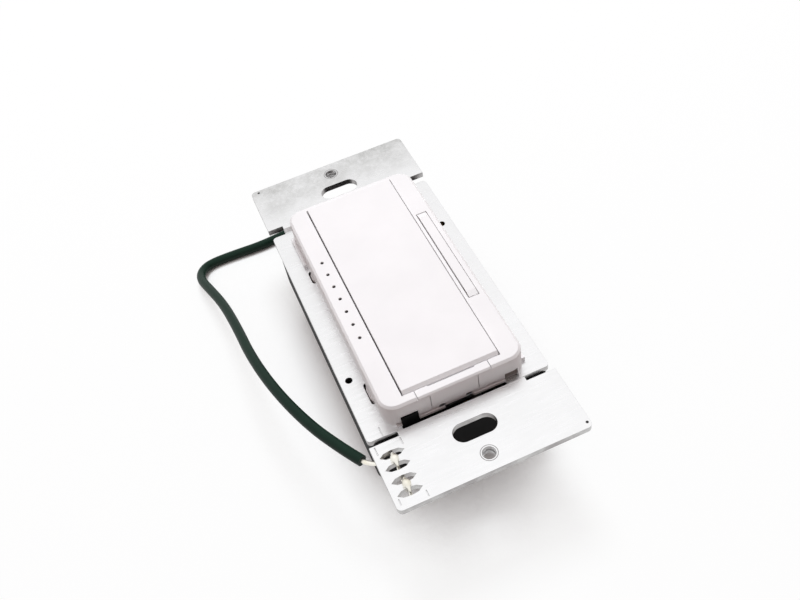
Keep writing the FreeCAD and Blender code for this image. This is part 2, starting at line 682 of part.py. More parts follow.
def make_front_frame():
    """White moulded bezel: walls, face plate, bearings, and its cut-outs for all that it carries."""
    body = new_body("front_frame")
    height = frame_front - middle_front
    outer = new_sketch(body, "frame_outer", middle_front)
    draw_box(outer, -frame_half_width, frame_half_width, -frame_half_length, frame_half_length)
    pad(body, outer, height)
    round_edges(body, "frame_corners", s.frame_corner, outer_corner(frame_half_width, frame_half_length))
    bevel_edges(body, "frame_front_edge", s.frame_edge, rim_at(frame_front, frame_half_width, frame_half_length))

    inner = new_sketch(body, "frame_inside", middle_front)
    draw_box(inner, -inside_half_width, inside_half_width, -inside_half_length, inside_half_length)
    cut(body, inner, height - s.frame_face)

    # Bearings of the tap switch and the rocker, foot lips at the ends, foot rails beside the walls
    bearings = new_sketch(body, "frame_bearings", face_back - 3.0)
    for side in (-1, 1):
        draw_box(bearings, bearing_near * side, bearing_far * side, pivot_along - 2.2, pivot_along + 2.2)
    draw_box(bearings, window_half_width + 0.1, rocker_slot_left, s.rocker_shift - 2.2, s.rocker_shift + 2.2)
    pad(body, bearings, 3.2)

    rails = new_sketch(body, "frame_rails", middle_front)
    lips = new_sketch(body, "frame_lips", middle_front)
    grooves = new_sketch(body, "frame_lip_grooves", middle_front + s.lip_height)
    lip_half = frame_half_width - s.frame_corner * 0.6
    for side in (-1, 1):
        draw_box(
            rails, (0.2 - frame_half_width) * side, -(frame_half_width + s.rail_width) * side,
            rail_start * side, (rail_start + s.rail_length) * side,
        )
        draw_box(lips, -lip_half, lip_half, (frame_half_length - 0.9) * side, (frame_half_length + s.lip_depth) * side)
        groove_end = (frame_half_length + 1) * side
        draw_box(grooves, -lip_half, lip_half, (frame_half_length - s.groove_depth) * side, groove_end)
    pad(body, rails, s.rail_height)
    pad(body, lips, s.lip_height)
    cut(body, grooves, s.lip_groove)

    window = new_sketch(body, "frame_window", face_back - 1)
    draw_box(window, -window_half_width, window_half_width, window_low_end, window_top_end)
    cut(body, window, s.frame_face + 2)

    slots = new_sketch(body, "frame_face_slots", face_back - 1)
    reach = s.rocker_length / 2 + s.rocker_gap
    draw_box(slots, rocker_slot_left, inside_half_width, s.rocker_shift - reach, s.rocker_shift + reach)
    for number in range(LED_COUNT):
        along = s.led_shift + s.led_pitch * (number - (LED_COUNT - 1) / 2)
        draw_regular(slots, guide_place, along, s.led_hole / 2)
    cut(body, slots, s.frame_face + 2)

    # The service tab's shallow seat in the bottom border, and the slot for its panel in the wall below
    beyond = -frame_half_length - s.lip_depth - 0.2
    seat = new_sketch(body, "frame_tab_seat", tab_seat)
    draw_box(seat, tab_middle - tab_half - s.tab_gap, tab_middle + tab_half + s.tab_gap, beyond, window_low_end)
    cut(body, seat, s.tab_sheet + 1)
    panel_bottom = flange_front + s.tab_foot
    panel = new_sketch(body, "frame_tab_panel", panel_bottom)
    panel_left, panel_right = panel_middle - panel_half - s.tab_gap, panel_middle + panel_half + s.tab_gap
    draw_box(panel, panel_left, panel_right, beyond, -inside_half_length + 0.1)
    cut(body, panel, tab_seat - panel_bottom + 0.1)
    toe_half = s.toe_width / 2
    toe = new_sketch(body, "frame_tab_toe", middle_front - 1)
    lip_gap = new_sketch(body, "frame_lip_gap", middle_front - 1)
    toe_left, toe_right = panel_middle - toe_half - s.toe_gap, panel_middle + toe_half + s.toe_gap
    draw_box(toe, toe_left, toe_right, -frame_half_length, -inside_half_length + 0.1)
    draw_box(lip_gap, panel_middle - toe_half - 0.25, toe_right + 0.3, beyond, -frame_half_length)
    cut(body, toe, panel_bottom - middle_front + 1.1)
    cut(body, lip_gap, s.lip_height + 1.1)
    groove = new_sketch(body, "frame_tab_leg_groove", middle_front - 1)
    draw_box(
        groove, airgap_place - airgap_leg_half - 0.25, airgap_place + airgap_leg_half + 0.25,
        -inside_half_length - 0.7, window_low_end + 0.05,
    )
    cut(body, groove, tab_seat - middle_front + 1.1)

    # Windows for the body's tongues, and a shallow recess opposite each
    windows = new_sketch(body, "frame_tongue_windows", middle_front - 1)
    recesses = new_sketch(body, "frame_recesses", middle_front - 1)
    for side in (-1, 1):
        end = (frame_half_length + s.lip_depth + 0.2) * side
        low, high = (tongue_near - 0.1) * side, (tongue_far + 0.1) * side
        draw_box(windows, low, high, (inside_half_length - 0.1) * side, end)
        draw_box(recesses, recess_near * -side, recess_far * -side, (frame_half_length - 0.9) * side, end)
    cut(body, windows, flange_front + s.tongue_rise - middle_front + 1.1)
    cut(body, recesses, flange_front + s.recess_rise - middle_front + 1)

    # The pivot holes stop short of the outer walls.
    pivots = new_sketch(body, "frame_pivots", 0, "YZ_Plane")
    draw_circle(pivots, pivot_along, pivot_level, s.pivot_radius + s.running_gap)
    cut(body, pivots, bearing_far * 2, symmetric=True)
    pin_hole = new_sketch(body, "frame_rocker_pin_hole", window_half_width, "YZ_Plane")
    draw_circle(pin_hole, s.rocker_shift, rocker_level, s.rocker_pin + 0.02)
    cut(body, pin_hole, inside_half_width - window_half_width + 0.9)
    return body


def make_tap_switch():
    """The large paddle: bevelled plate, pivot lugs with pins, snap toes and the leg that taps."""
    body = new_body("tap_switch")
    half = paddle_half_width
    profile = new_sketch(body, "tap_profile", 0, "YZ_Plane")
    draw_polygon(profile, [
        (paddle_low_end, paddle_back),
        (paddle_low_end, paddle_front - s.paddle_bevel),
        (paddle_low_end + s.paddle_bevel, paddle_front),
        (paddle_top_end, paddle_front),
        (paddle_top_end, paddle_back),
    ])
    pad(body, profile, half * 2, symmetric=True)

    lug_base = pivot_level - s.pivot_radius - 0.4
    lugs = new_sketch(body, "tap_lugs", lug_base)
    for side in (-1, 1):
        draw_box(lugs, (half - 1.4) * side, half * side, pivot_along - 1.6, pivot_along + 1.6)
    pad(body, lugs, paddle_back - lug_base + 0.1)
    pins = new_sketch(body, "tap_pins", 0, "YZ_Plane")
    draw_circle(pins, pivot_along, pivot_level, s.pivot_radius)
    pad(body, pins, (bearing_far - 0.3) * 2, symmetric=True)
    # The pins are stubs: the rod between the lugs is cut away again.
    between = new_sketch(body, "tap_between_lugs", lug_base - 0.2)
    draw_box(between, 1.4 - half, half - 1.4, pivot_along - 1.6, pivot_along + 1.6)
    cut(body, between, paddle_back - lug_base + 0.2)

    # Snap toes that catch below the frame's bottom border
    toe_top = face_back - 0.3
    toes = new_sketch(body, "tap_toes", toe_top - 1.4)
    legs = new_sketch(body, "tap_toe_legs", toe_top - 1.4)
    for side in (-1, 1):
        near, far = (half - 1.8) * side, (half - 0.4) * side
        draw_box(toes, near, far, paddle_low_end - 0.7, paddle_low_end + 0.6)
        draw_box(legs, near, far, paddle_low_end, paddle_low_end + 1.2)
    pad(body, toes, 1.4)
    pad(body, legs, paddle_back - toe_top + 1.5)

    leg_end = button_top + s.tap_travel
    leg = new_sketch(body, "tap_leg", leg_end)
    draw_box(leg, -1.5, 1.5, tap_along - 1.5, tap_along + 1.5)
    pad(body, leg, paddle_back - leg_end + 0.1)
    return body


def make_rocker():
    """The narrow dimming rocker: a bar on a pin, with a leg towards each end."""
    body = new_body("dimming_rocker")
    left, right = rocker_left, rocker_left + s.rocker_width
    half = s.rocker_length / 2
    bar = new_sketch(body, "rocker_bar", left, "YZ_Plane")
    draw_polygon(bar, [
        (s.rocker_shift - half, rocker_back),
        (s.rocker_shift - half, rocker_front - s.rocker_dip),
        (s.rocker_shift - half + 1.6, rocker_front),
        (s.rocker_shift + half - 1.6, rocker_front),
        (s.rocker_shift + half, rocker_front - s.rocker_dip),
        (s.rocker_shift + half, rocker_back),
    ])
    pad(body, bar, s.rocker_width)
    lug_base = rocker_level - s.rocker_pin - 0.5
    lug = new_sketch(body, "rocker_lug", lug_base)
    draw_box(lug, left + 0.2, right - 0.2, s.rocker_shift - 1.6, s.rocker_shift + 1.6)
    pad(body, lug, rocker_back - lug_base + 0.1)
    leg_end = button_top + s.rocker_travel
    legs = new_sketch(body, "rocker_legs", leg_end)
    for side in (-1, 1):
        leg = s.rocker_shift + s.rocker_reach * side
        draw_box(legs, left + 0.4, right - 0.4, leg - 0.9, leg + 0.9)
    pad(body, legs, rocker_back - leg_end + 0.1)
    bore = new_sketch(body, "rocker_bore", left - 0.5, "YZ_Plane")
    draw_circle(bore, s.rocker_shift, rocker_level, s.rocker_pin + s.running_gap)
    cut(body, bore, s.rocker_width + 1)
    return body


def make_service_tab():
    """The pull-out tab: thin face plate, wall panel with its toe, and the leg of the air gap."""
    body = new_body("service_tab")
    outer = -frame_half_length
    left = tab_middle - tab_half
    border = new_sketch(body, "tab_border", left, "YZ_Plane")
    draw_polygon(border, [
        (outer, tab_seat), (outer, frame_front - 0.4), (outer + 0.4, frame_front),
        (window_low_end, frame_front), (window_low_end, tab_seat),
    ])
    pad(body, border, tab_half * 2)
    foot = flange_front + s.tab_foot + 0.1
    panel = new_sketch(body, "tab_panel", foot)
    draw_box(panel, panel_middle - panel_half, panel_middle + panel_half, outer, outer + s.panel_sheet)
    pad(body, panel, tab_seat - foot + 0.1)
    toe_half = s.toe_width / 2
    toe_end = middle_front + 0.5
    toe = new_sketch(body, "tab_toe", toe_end)
    draw_box(toe, panel_middle - toe_half, panel_middle + toe_half, outer, outer + s.panel_sheet)
    pad(body, toe, foot - toe_end + 0.1)
    leg_end = board_top + s.contact_sheet + 0.3
    leg = new_sketch(body, "tab_leg", leg_end)
    leg_left, leg_right = airgap_place - airgap_leg_half, airgap_place + airgap_leg_half
    draw_box(leg, leg_left, leg_right, -inside_half_length - 0.4, window_low_end)
    pad(body, leg, tab_seat - leg_end + 0.1)
    # Finger groove across the tab's front
    groove = new_sketch(body, "tab_groove", frame_front - 0.35)
    draw_box(groove, left + 3, left + tab_half * 2 - 3, window_low_end - 0.25, window_low_end + 0.5)
    cut(body, groove, 1)
    return body


def make_housing_body():
    """Black moulded body: four walls, a floor with a large opening, ledges, bosses and tongues."""
    body = new_body("housing_body")
    half_x, half_y = body_half_width, body_half_length
    in_x, in_y = body_in_width, body_in_length
    outer = new_sketch(body, "body_outer", body_base)
    draw_box(outer, -half_x, half_x, -half_y, half_y)
    pad(body, outer, s.body_height)
    round_edges(body, "body_corners", s.body_corner, outer_corner(half_x, half_y))
    inside = new_sketch(body, "body_inside", body_floor)
    draw_box(inside, -in_x, in_x, -in_y, in_y)
    cut(body, inside, s.body_height - s.body_wall + 1)
    opening = new_sketch(body, "body_opening", body_base - 1)
    draw_box(opening, -in_x, in_x, 0.5 - board_half_length, board_half_length - 0.5)
    cut(body, opening, s.body_wall + 2)

    ledges = new_sketch(body, "body_ledges", body_floor)
    for side in (-1, 1):
        for end in (-1, 1):
            far = board_half_length - s.ledge_setback
            near = far - s.ledge_length
            draw_box(ledges, (board_half_width - 1) * side, (in_x + 0.2) * side, near * end, far * end)
    pad(body, ledges, board_level - body_floor)
    bosses = new_sketch(body, "body_bosses", body_base)
    pilots = new_sketch(body, "body_pilots", body_base - 1)
    for x in (-1, 1):
        for y in (-1, 1):
            draw_regular(bosses, screw_across * x, screw_along * y, s.boss_radius, 12)
            draw_regular(pilots, screw_across * x, screw_along * y, s.screw_radius + 0.03)
    pad(body, bosses, s.boss_height)
    cut(body, pilots, s.boss_height)

    # Snap tongues: they rise from the end walls through the yoke into the frame's windows.
    tongues = new_sketch(body, "body_tongues", middle_back - 6)
    for side in (-1, 1):
        inner_face = (tongue_face - s.tongue_thick) * side
        draw_box(tongues, tongue_near * side, tongue_far * side, inner_face, tongue_face * side)
    pad(body, tongues, flange_front + s.tongue_rise - middle_back + 6)
    return body


def make_back_cover():
    """Light grey cover: rounded tray with a solid terminal end, screw bores and locating ribs."""
    body = new_body("back_cover")
    half_x, half_y = cover_half_width, cover_half_length
    outer = new_sketch(body, "cover_outer", 0)
    draw_box(outer, -half_x, half_x, -half_y, half_y)
    pad(body, outer, s.cover_height)
    round_edges(body, "cover_corners", s.cover_corner, outer_corner(half_x, half_y))
    bevel_edges(body, "cover_back_edge", s.cover_edge, rim_at(as_size(0), half_x, half_y))
    cavity = new_sketch(body, "cover_cavity", s.cover_wall)
    post = s.screw_head + s.head_gap + s.screw_web
    wide, narrow = half_x - s.cover_wall, screw_across - post
    low_end, far_end = terminal_face + s.cover_wall, half_y - s.cover_wall
    shoulder = screw_along - post
    draw_polygon(cavity, [
        (-wide, low_end), (wide, low_end), (wide, shoulder), (narrow, shoulder),
        (narrow, far_end), (-narrow, far_end), (-narrow, shoulder), (-wide, shoulder),
    ])
    cut(body, cavity, s.cover_height)

    ribs = new_sketch(body, "cover_ribs", s.cover_height - 0.5)
    for side in (-1, 1):
        draw_box(ribs, (wide - 0.4) * side, (body_in_width - 0.2) * side, low_end, shoulder - 2)
    pad(body, ribs, s.body_wall + 0.3)

    pockets = new_sketch(body, "cover_terminal_pockets", -1)
    slits = new_sketch(body, "cover_terminal_slits", terminal_height - 0.5)
    bores = new_sketch(body, "cover_terminal_bores", 0.5 - terminal_face, "XZ_Plane")
    for number in (-1, 0, 1):
        middle = terminal_pitch * number
        half = terminal_width / 2
        draw_box(pockets, middle - half, middle + half, -half_y - 1, terminal_face)
        draw_box(slits, middle - 1.2, middle + 1.2, terminal_face - s.terminal_plate - 0.1, terminal_face + 0.1)
        draw_regular(bores, middle, terminal_axis, s.terminal_shank + 0.1)
    cut(body, pockets, terminal_height + 1)
    cut(body, slits, s.terminal_roof + 1)
    cut(body, bores, s.cover_wall + 1, along_normal=False)

    heads = new_sketch(body, "cover_screw_heads", -1)
    shanks = new_sketch(body, "cover_screw_shanks", -1)
    for x in (-1, 1):
        for y in (-1, 1):
            draw_circle(heads, screw_across * x, screw_along * y, s.screw_head + s.head_gap)
            draw_regular(shanks, screw_across * x, screw_along * y, s.screw_radius + 0.1)
    cut(body, heads, s.screw_sink + 1)
    cut(body, shanks, s.cover_height + 2)
    return body


def make_light_guide():
    """One smoked moulding: seven legs over the LEDs, a bar, and seven tips in the frame's holes."""
    bar_low = face_back - 1.4
    half = s.guide_width / 2
    pieces = [block(
        "guide_bar", s.guide_width, row_half * 2 + 2.4, 1.4,
        (guide_place - half, s.led_shift - row_half - 1.2, bar_low),
    )]
    leg_end = board_top + 1.0
    for number in range(LED_COUNT):
        along = s.led_shift + s.led_pitch * (number - (LED_COUNT - 1) / 2)
        corner = (guide_place - half + 0.2, along - half + 0.2, leg_end)
        side = s.guide_width - 0.4
        pieces.append(block(f"guide_leg_{number + 1}", side, side, bar_low - leg_end + 0.2, corner))
        tip = s.led_hole / 2 - s.running_gap
        height = s.frame_face + 0.2 - 0.3
        start = (guide_place, along, face_back - 0.2)
        pieces.append(rod(f"guide_tip_{number + 1}", tip, height, start, sides=8))
    return keep(fuse("led_light_guide", pieces), "led_light_guide")


def make_leds():
    pieces = []
    half = s.guide_width / 2
    for number in range(LED_COUNT):
        along = s.led_shift + s.led_pitch * (number - (LED_COUNT - 1) / 2)
        corner = (guide_place - half, along - 0.6, board_top)
        pieces.append(block(f"led_{number + 1}", s.guide_width, 1.2, 0.8, corner))
    return keep(group("indicator_leds", pieces), "indicator_leds")


def make_tactile_switch(label, x, y):
    """A square tactile switch on the board with its plunger."""
    half = s.button_size / 2
    case = block(label + "_case", s.button_size, s.button_size, s.button_body, (x - half, y - half, board_top))
    start = (x, y, board_top + s.button_body - 0.5)
    plunger = rod(label + "_plunger", s.plunger_radius, s.button_rise + 0.5, start, sides=12)
    return keep(fuse(label, [case, plunger]), label)


def make_transistor():
    """The dimming transistor: its tab lies on the yoke, which cools it, and its legs reach the board."""
    middle, low_end = transistor_middle, s.transistor_start
    left = middle - s.transistor_width / 2
    tab = block(
        "transistor_tab", s.transistor_width, s.transistor_length, s.transistor_tab,
        (left, low_end, middle_back - s.transistor_tab),
    )
    case = block(
        "transistor_case", s.transistor_width, s.transistor_case, s.transistor_height,
        (left, low_end, middle_back - s.transistor_height),
    )
    pieces = [tab, case]
    leg_top = middle_back - s.transistor_height + 1.6
    for number in (-1, 0, 1):
        side = middle + s.transistor_pitch * number - 0.4
        across = block(f"transistor_leg_{number + 2}_out", 0.8, 1.6, 0.6, (side, low_end - 1.4, leg_top - 0.6))
        down = block(
            f"transistor_leg_{number + 2}_down", 0.8, 0.6, leg_top - board_top, (side, low_end - 1.4, board_top),
        )
        pieces += [across, down]
    whole = fuse("power_transistor", pieces)
    # The hole's flats clear the rivet's shank.
    hole = rod("transistor_hole", (s.rivet_radius + 0.1) * 1.09, 3, (middle, rivet_along, middle_back - 2), sides=8)
    keep(subtract("power_transistor", whole, hole), "power_transistor")

    tab_under = middle_back - s.transistor_tab
    shank = rod(
        "rivet_shank", s.rivet_radius, s.yoke_sheet + s.transistor_tab + 0.2,
        (middle, rivet_along, tab_under - 0.1), sides=8,
    )
    head = rod("rivet_head", s.rivet_head, 0.9, (middle, rivet_along, middle_front), sides=12)
    clench = rod("rivet_clench", s.rivet_head - 0.3, 0.8, (middle, rivet_along, tab_under - 0.8), sides=12)
    return keep(fuse("power_transistor_rivet", [shank, head, clench]), "power_transistor_rivet")


def make_choke():
    """A ring core that lies on the board, wound with rectangular turns of enamelled wire."""
    gap = 0.08
    wrap = s.choke_wire + gap
    # The ring fills the room between its neighbours, whatever their sizes.
    left, right = guide_place + s.guide_width / 2, rocker_place - s.button_size / 2
    low, high = tap_along + s.button_size / 2, s.transistor_start - 1.4
    x, y = (left + right) / 2, (low + high) / 2
    outer = (high - low) / 2 - wrap - s.choke_gap
    height = middle_back - board_top - wrap * 2 - s.choke_drop
    level = board_top + s.choke_wire + 0.1
    ring = rod("choke_ring", outer, height, (x, y, level), sides=24)
    bore = rod("choke_bore", s.choke_bore * 1.036, height + 2, (x, y, level - 1), sides=12)
    keep(subtract("choke_core", ring, bore), "filter_choke_core")

    wire, turns = s.choke_wire.value, 16
    length, rise = (outer - s.choke_bore).value + 2 * gap, height.value + 2 * gap
    corner = Vector(s.choke_bore.value - gap, -wire / 2, -gap)
    around = Part.makeBox(length + 2 * wire, wire, rise + 2 * wire, corner - Vector(wire, 0, wire))
    turn = around.cut(Part.makeBox(length, wire, rise, corner))
    loops = []
    for number in range(turns):
        loop = turn.copy()
        loop.rotate(Vector(0, 0, 0), Vector(0, 0, 1), 300 * number / (turns - 1))
        loops.append(loop)
    winding = doc.addObject("Part::Feature", "choke_winding")
    winding.Shape = Part.makeCompound(loops)
    winding.Placement = Placement(Vector(x.value, y.value, level.value), Rotation())
    return keep(winding, "filter_choke_winding")


def make_terminal(number):
    """A brass plate with a tab up to the board, and the slotted screw that clamps a wire on it."""
    middle = terminal_pitch * (number - 2)
    thick = s.terminal_plate
    width = terminal_width - s.plate_gap * 2
    plate_base, plate_top = as_size(0.9), terminal_height - 0.6
    plate = block(
        f"plate_{number}_face", width, thick, plate_top - plate_base,
        (middle - width / 2, terminal_face - thick, plate_base),
    )
    tab = block(
        f"plate_{number}_tab", 2, 0.8, board_level - plate_top + 0.9,
        (middle - 1, terminal_face - thick + 0.1, plate_top - 0.9),
    )
    hole = rod(
        f"plate_{number}_hole", (s.terminal_shank + 0.03) * 1.09, thick + 2,
        (middle, terminal_face - thick - 1, terminal_axis), "Y", sides=8,
    )
    whole = fuse(f"plate_{number}", [plate, tab])
    keep(subtract(f"plate_{number}", whole, hole), f"terminal_plate_{number}")

    head_face = terminal_face - thick - s.wire_gap - s.terminal_crown
    head = rod(
        f"screw_{number}_head", s.terminal_head, s.terminal_crown, (middle, head_face, terminal_axis), "Y",
    )
    shank = rod(
        f"screw_{number}_shank", s.terminal_shank, s.wire_gap + thick + s.cover_wall + 1.5,
        (middle, head_face + s.terminal_crown - 0.2, terminal_axis), "Y", sides=8,
    )
    groove = block(
        f"screw_{number}_groove", s.terminal_head * 2 + 0.8, 1.8, 0.8,
        (middle - s.terminal_head - 0.4, head_face - 1, terminal_axis - 0.4),
    )
    screw = fuse(f"screw_{number}", [head, shank])
    keep(subtract(f"screw_{number}", screw, groove), f"terminal_screw_{number}")


def make_cover_screws():
    pieces = []
    for number, (x, y) in enumerate(((-1, -1), (1, -1), (-1, 1), (1, 1)), start=1):
        across, along = screw_across * x, screw_along * y
        head = rod(f"cover_screw_{number}_head", s.screw_head, 1.7, (across, along, s.screw_sink - 1.7))
        shank = rod(
            f"cover_screw_{number}_shank", s.screw_radius, body_base - s.screw_sink + 4.4,
            (across, along, s.screw_sink - 0.2), sides=8,
        )
        whole = fuse(f"cover_screw_{number}", [head, shank])
        half = s.screw_head + 0.5
        groove = block(f"cover_screw_{number}_groove", half * 2, 0.7, 0.9, (across - half, along - 0.35, s.screw_sink - 1.8))
        pieces.append(subtract(f"cover_screw_{number}", whole, groove))
    return keep(group("cover_screws", pieces), "cover_screws")


def make_board_parts():
    """The circuit board and what stands on it."""
    half_x, half_y = board_half_width, board_half_length
    keep(block("board", half_x * 2, half_y * 2, s.board_sheet, (-half_x, -half_y, board_level)), "circuit_board")
    chip_corner = (half_x - s.chip_side - s.chip_width, s.chip_end - half_y, board_top)
    keep(block("chip", s.chip_width, s.chip_length, s.chip_height, chip_corner), "control_chip")
    upper, lower = s.rocker_shift + s.rocker_reach, s.rocker_shift - s.rocker_reach
    film_low = upper + s.button_size / 2 + s.film_gap
    film = block(
        "film_box", s.film_width, half_y - s.film_end - film_low, middle_back - board_top - s.film_drop,
        (half_x - s.film_side - s.film_width, film_low, board_top),
    )
    keep(film, "film_capacitor")
    can_place = (-(s.button_size / 2 + s.can_gap + s.can_radius), tap_along + 1, board_top)
    can = rod("can", s.can_radius, middle_back - board_top - s.can_drop, can_place, sides=16)
    keep(can, "electrolytic_capacitor")
    make_tactile_switch("tap_tactile_switch", as_size(0), tap_along)
    make_tactile_switch("dim_up_tactile_switch", rocker_place, upper)
    make_tactile_switch("dim_down_tactile_switch", rocker_place, lower)
    make_leds()


def make_airgap_contacts():
    """Two brass strips from the board's end to below the service tab's leg: they meet at a button."""
    width, strip = s.contact_width, s.contact_sheet
    reach = inside_half_length - 0.2
    left = airgap_place - width / 2
    run = reach + tap_along + 1
    keep(block("leaf_strip", width, run, strip, (left, -reach, board_top)), "airgap_leaf_contact")
    fixed = block("fixed_strip", width, run, strip, (left, -reach, board_level - strip))
    start = (airgap_place, 1.4 - reach, board_level - 0.1)
    button = rod("fixed_button", 0.9, s.board_sheet + 0.1, start, sides=12)
    keep(fuse("airgap_fixed_contact", [fixed, button]), "airgap_fixed_contact")


def rounded_path(points, largest=None):
    """Straight runs joined by tangent arcs; returns the wire and the arcs' radii."""
    edges = []
    radii = []
    start = points[0]
    for before, corner, after in zip(points, points[1:], points[2:]):
        incoming, outgoing = corner - before, after - corner
        half_turn = incoming.getAngle(outgoing) / 2
        reach = CORD_SHARE * min(incoming.Length, outgoing.Length)
        radius = reach / math.tan(half_turn)
        if largest and radius > largest:
            radius = largest
            reach = radius * math.tan(half_turn)
        into, out = Vector(incoming).normalize(), Vector(outgoing).normalize()
        first, last = corner - into * reach, corner + out * reach
        inward = (out - into).normalize()
        middle = corner + inward * (radius / math.cos(half_turn) - radius)
        edges.append(Part.LineSegment(start, first).toShape())
        edges.append(Part.Arc(first, middle, last).toShape())
        radii.append(round(radius, 1))
        start = last
    edges.append(Part.LineSegment(start, points[-1]).toShape())
    return Part.Wire(edges), radii


def ring_wire(centre, heading, radius, sides):
    """A regular polygon square to a heading: a wire's section, drawn with few flats."""
    ahead = Vector(heading).normalize()
    across = ahead.cross(Vector(0, 0, 1)).normalize()
    upward = across.cross(ahead)
    corners = []
    for number in range(sides):
        angle = 2 * math.pi * number / sides
        corners.append(centre + across * (radius * math.cos(angle)) + upward * (radius * math.sin(angle)))
    return Part.makePolygon(corners + corners[:1])


def sweep_wire(points, diameter, sides, largest=None):
    """A solid of constant section along a rounded path."""
    path, radii = rounded_path(points, largest)
    section = ring_wire(points[0], points[1] - points[0], diameter / 2, sides)
    solid = path.makePipeShell([section], True, False)
    expected = Part.Face(section).Area * path.Length
    print("wire length", round(path.Length, 1), "volume ratio", round(solid.Volume / expected, 4), "radii", radii)
    return solid


def solid_feature(label, shape):
    item = doc.addObject("Part::Feature", label + "_solid")
    item.Shape = shape
    return keep(item, label)


# The lead's route, chosen by hand: out from the yoke's left edge, round in one loose bow down to
# the bench, a tight hand-made fold at the top left, and along the bench behind the switch.
LEAD_ROUTE = [
    Vector(-24.1, -36.8, 23.7),
    Vector(-27.0, -31.8, 23.5),
    Vector(-31.4, -22.4, 22.7),
    Vector(-35.4, -8.8, 20.7),
    Vector(-37.8, 6.4, 17.2),
    Vector(-38.5, 20.6, 13.3),
    Vector(-39.7, 33.6, 9.5),
    Vector(-41.9, 44.4, 6.0),
    Vector(-43.3, 51.4, 3.4),
    Vector(-42.6, 55.9, 1.9),
    Vector(-39.7, 58.5, 1.3),
    Vector(-33.0, 58.6, 1.3),
    Vector(-22.0, 57.9, 1.3),
    Vector(-8.0, 60.0, 1.3),
    Vector(4.0, 60.4, 1.3),
]


def make_ground_lead():
    """Insulated lead, its stripped far tip, and the conductor woven through the yoke's slots."""
    solid_feature("ground_lead", sweep_wire(LEAD_ROUTE, s.lead_diameter.value, 16))
    wire = s.conductor_diameter.value
    end, before = LEAD_ROUTE[-1], LEAD_ROUTE[-2]
    heading = (end - before).normalize()
    tip = Part.Face(ring_wire(end, heading, wire / 2, 8)).extrude(heading * s.bare_tip.value)
    solid_feature("ground_lead_tip", tip)

    # The conductor bends at the insulation's end, runs below the flange and weaves through the slots.
    across, front, back = -(yoke_half_width - s.lance_inset).value, flange_front.value, flange_back.value
    start, into = LEAD_ROUTE[0], (LEAD_ROUTE[1] - LEAD_ROUTE[0]).normalize()
    over, under = front + 0.75, back - 0.85
    slots = [tuple(-lance_along(pair, member).value for member in (0, 1)) for pair in (0, 1)]
    points = [start, start - into * 1.9, Vector(across, slots[0][0], back - 0.7)]
    points += [Vector(across, slots[0][0], over), Vector(across, slots[0][1], over)]
    points += [Vector(across, slots[0][1], under), Vector(across, slots[1][0], under)]
    points += [Vector(across, slots[1][0], over), Vector(across, slots[1][1], over)]
    points += [Vector(across, slots[1][1], back - 1.2)]
    strand = sweep_wire(points, wire, 8, largest=wire)

    # Each crossing was pressed flat: a pointed crown lies on the flange over the wire.
    half_width = s.crown_width.value / 2
    for first, second in slots:
        middle, half_length = (first + second) / 2, abs(second - first) / 2 + 0.1
        rings = []
        for share, width in ((-1, 0.2), (-0.55, 0.8), (0, 1), (0.55, 0.8), (1, 0.2)):
            centre = Vector(across, middle + share * half_length, front + 0.1)
            rings.append(ring_wire(centre, Vector(0, 1, 0), half_width * width, 8))
        crown = Part.makeLoft(rings, True, True)
        above = Part.makeBox(4, 8, 3, Vector(across - 2, middle - 4, front + 0.02))
        strand = strand.fuse(crown.common(above))
    return solid_feature("ground_conductor", strand.removeSplitter())


make_yoke()
make_front_frame()
make_tap_switch()
make_rocker()
keep(
    rod(
        "pin_rod", s.rocker_pin, inside_half_width - window_half_width + 0.7,
        (window_half_width + 0.12, s.rocker_shift, rocker_level), "X",
    ),
    "rocker_pin",
)
make_service_tab()
make_light_guide()
make_housing_body()
make_back_cover()
make_cover_screws()
make_board_parts()
make_transistor()
make_choke()
make_airgap_contacts()
for terminal in (1, 2, 3):
    make_terminal(terminal)
make_ground_lead()
doc.recompute()

for item in doc.Objects:
    if "Invalid" in item.State or "Error" in item.State:
        raise RuntimeError(f"{item.Name} ({item.Label}) failed: {item.State}")
os.makedirs("parts", exist_ok=True)
for item in sub_parts:
    if item.Shape.isNull() or not item.Shape.isValid() or not item.Shape.Solids:
        raise RuntimeError(f"{item.Label} has no valid solid")
for item in sub_parts:
    item.Shape.exportStep(f"parts/{item.Label}.step")
    print(item.Label, len(item.Shape.Solids), round(item.Shape.Volume, 1))
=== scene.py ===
# %% [markdown]
# # A smart dimmer switch on a white table
#
# The object is a wall-box dimmer before it is wired: a stamped aluminium yoke carries a white moulded
# frame in front and a black and grey plastic housing behind. A short green ground lead is woven through
# slots in the yoke and lies beside the switch.
#
# The solids come finished from the CAD model, so this file gives them their surfaces, adds what is too
# soft or too small for the solids, and sets up the table, the light and the camera.

# %% Load the model
import math

import bmesh
import bpy
from mathutils import Matrix, Vector


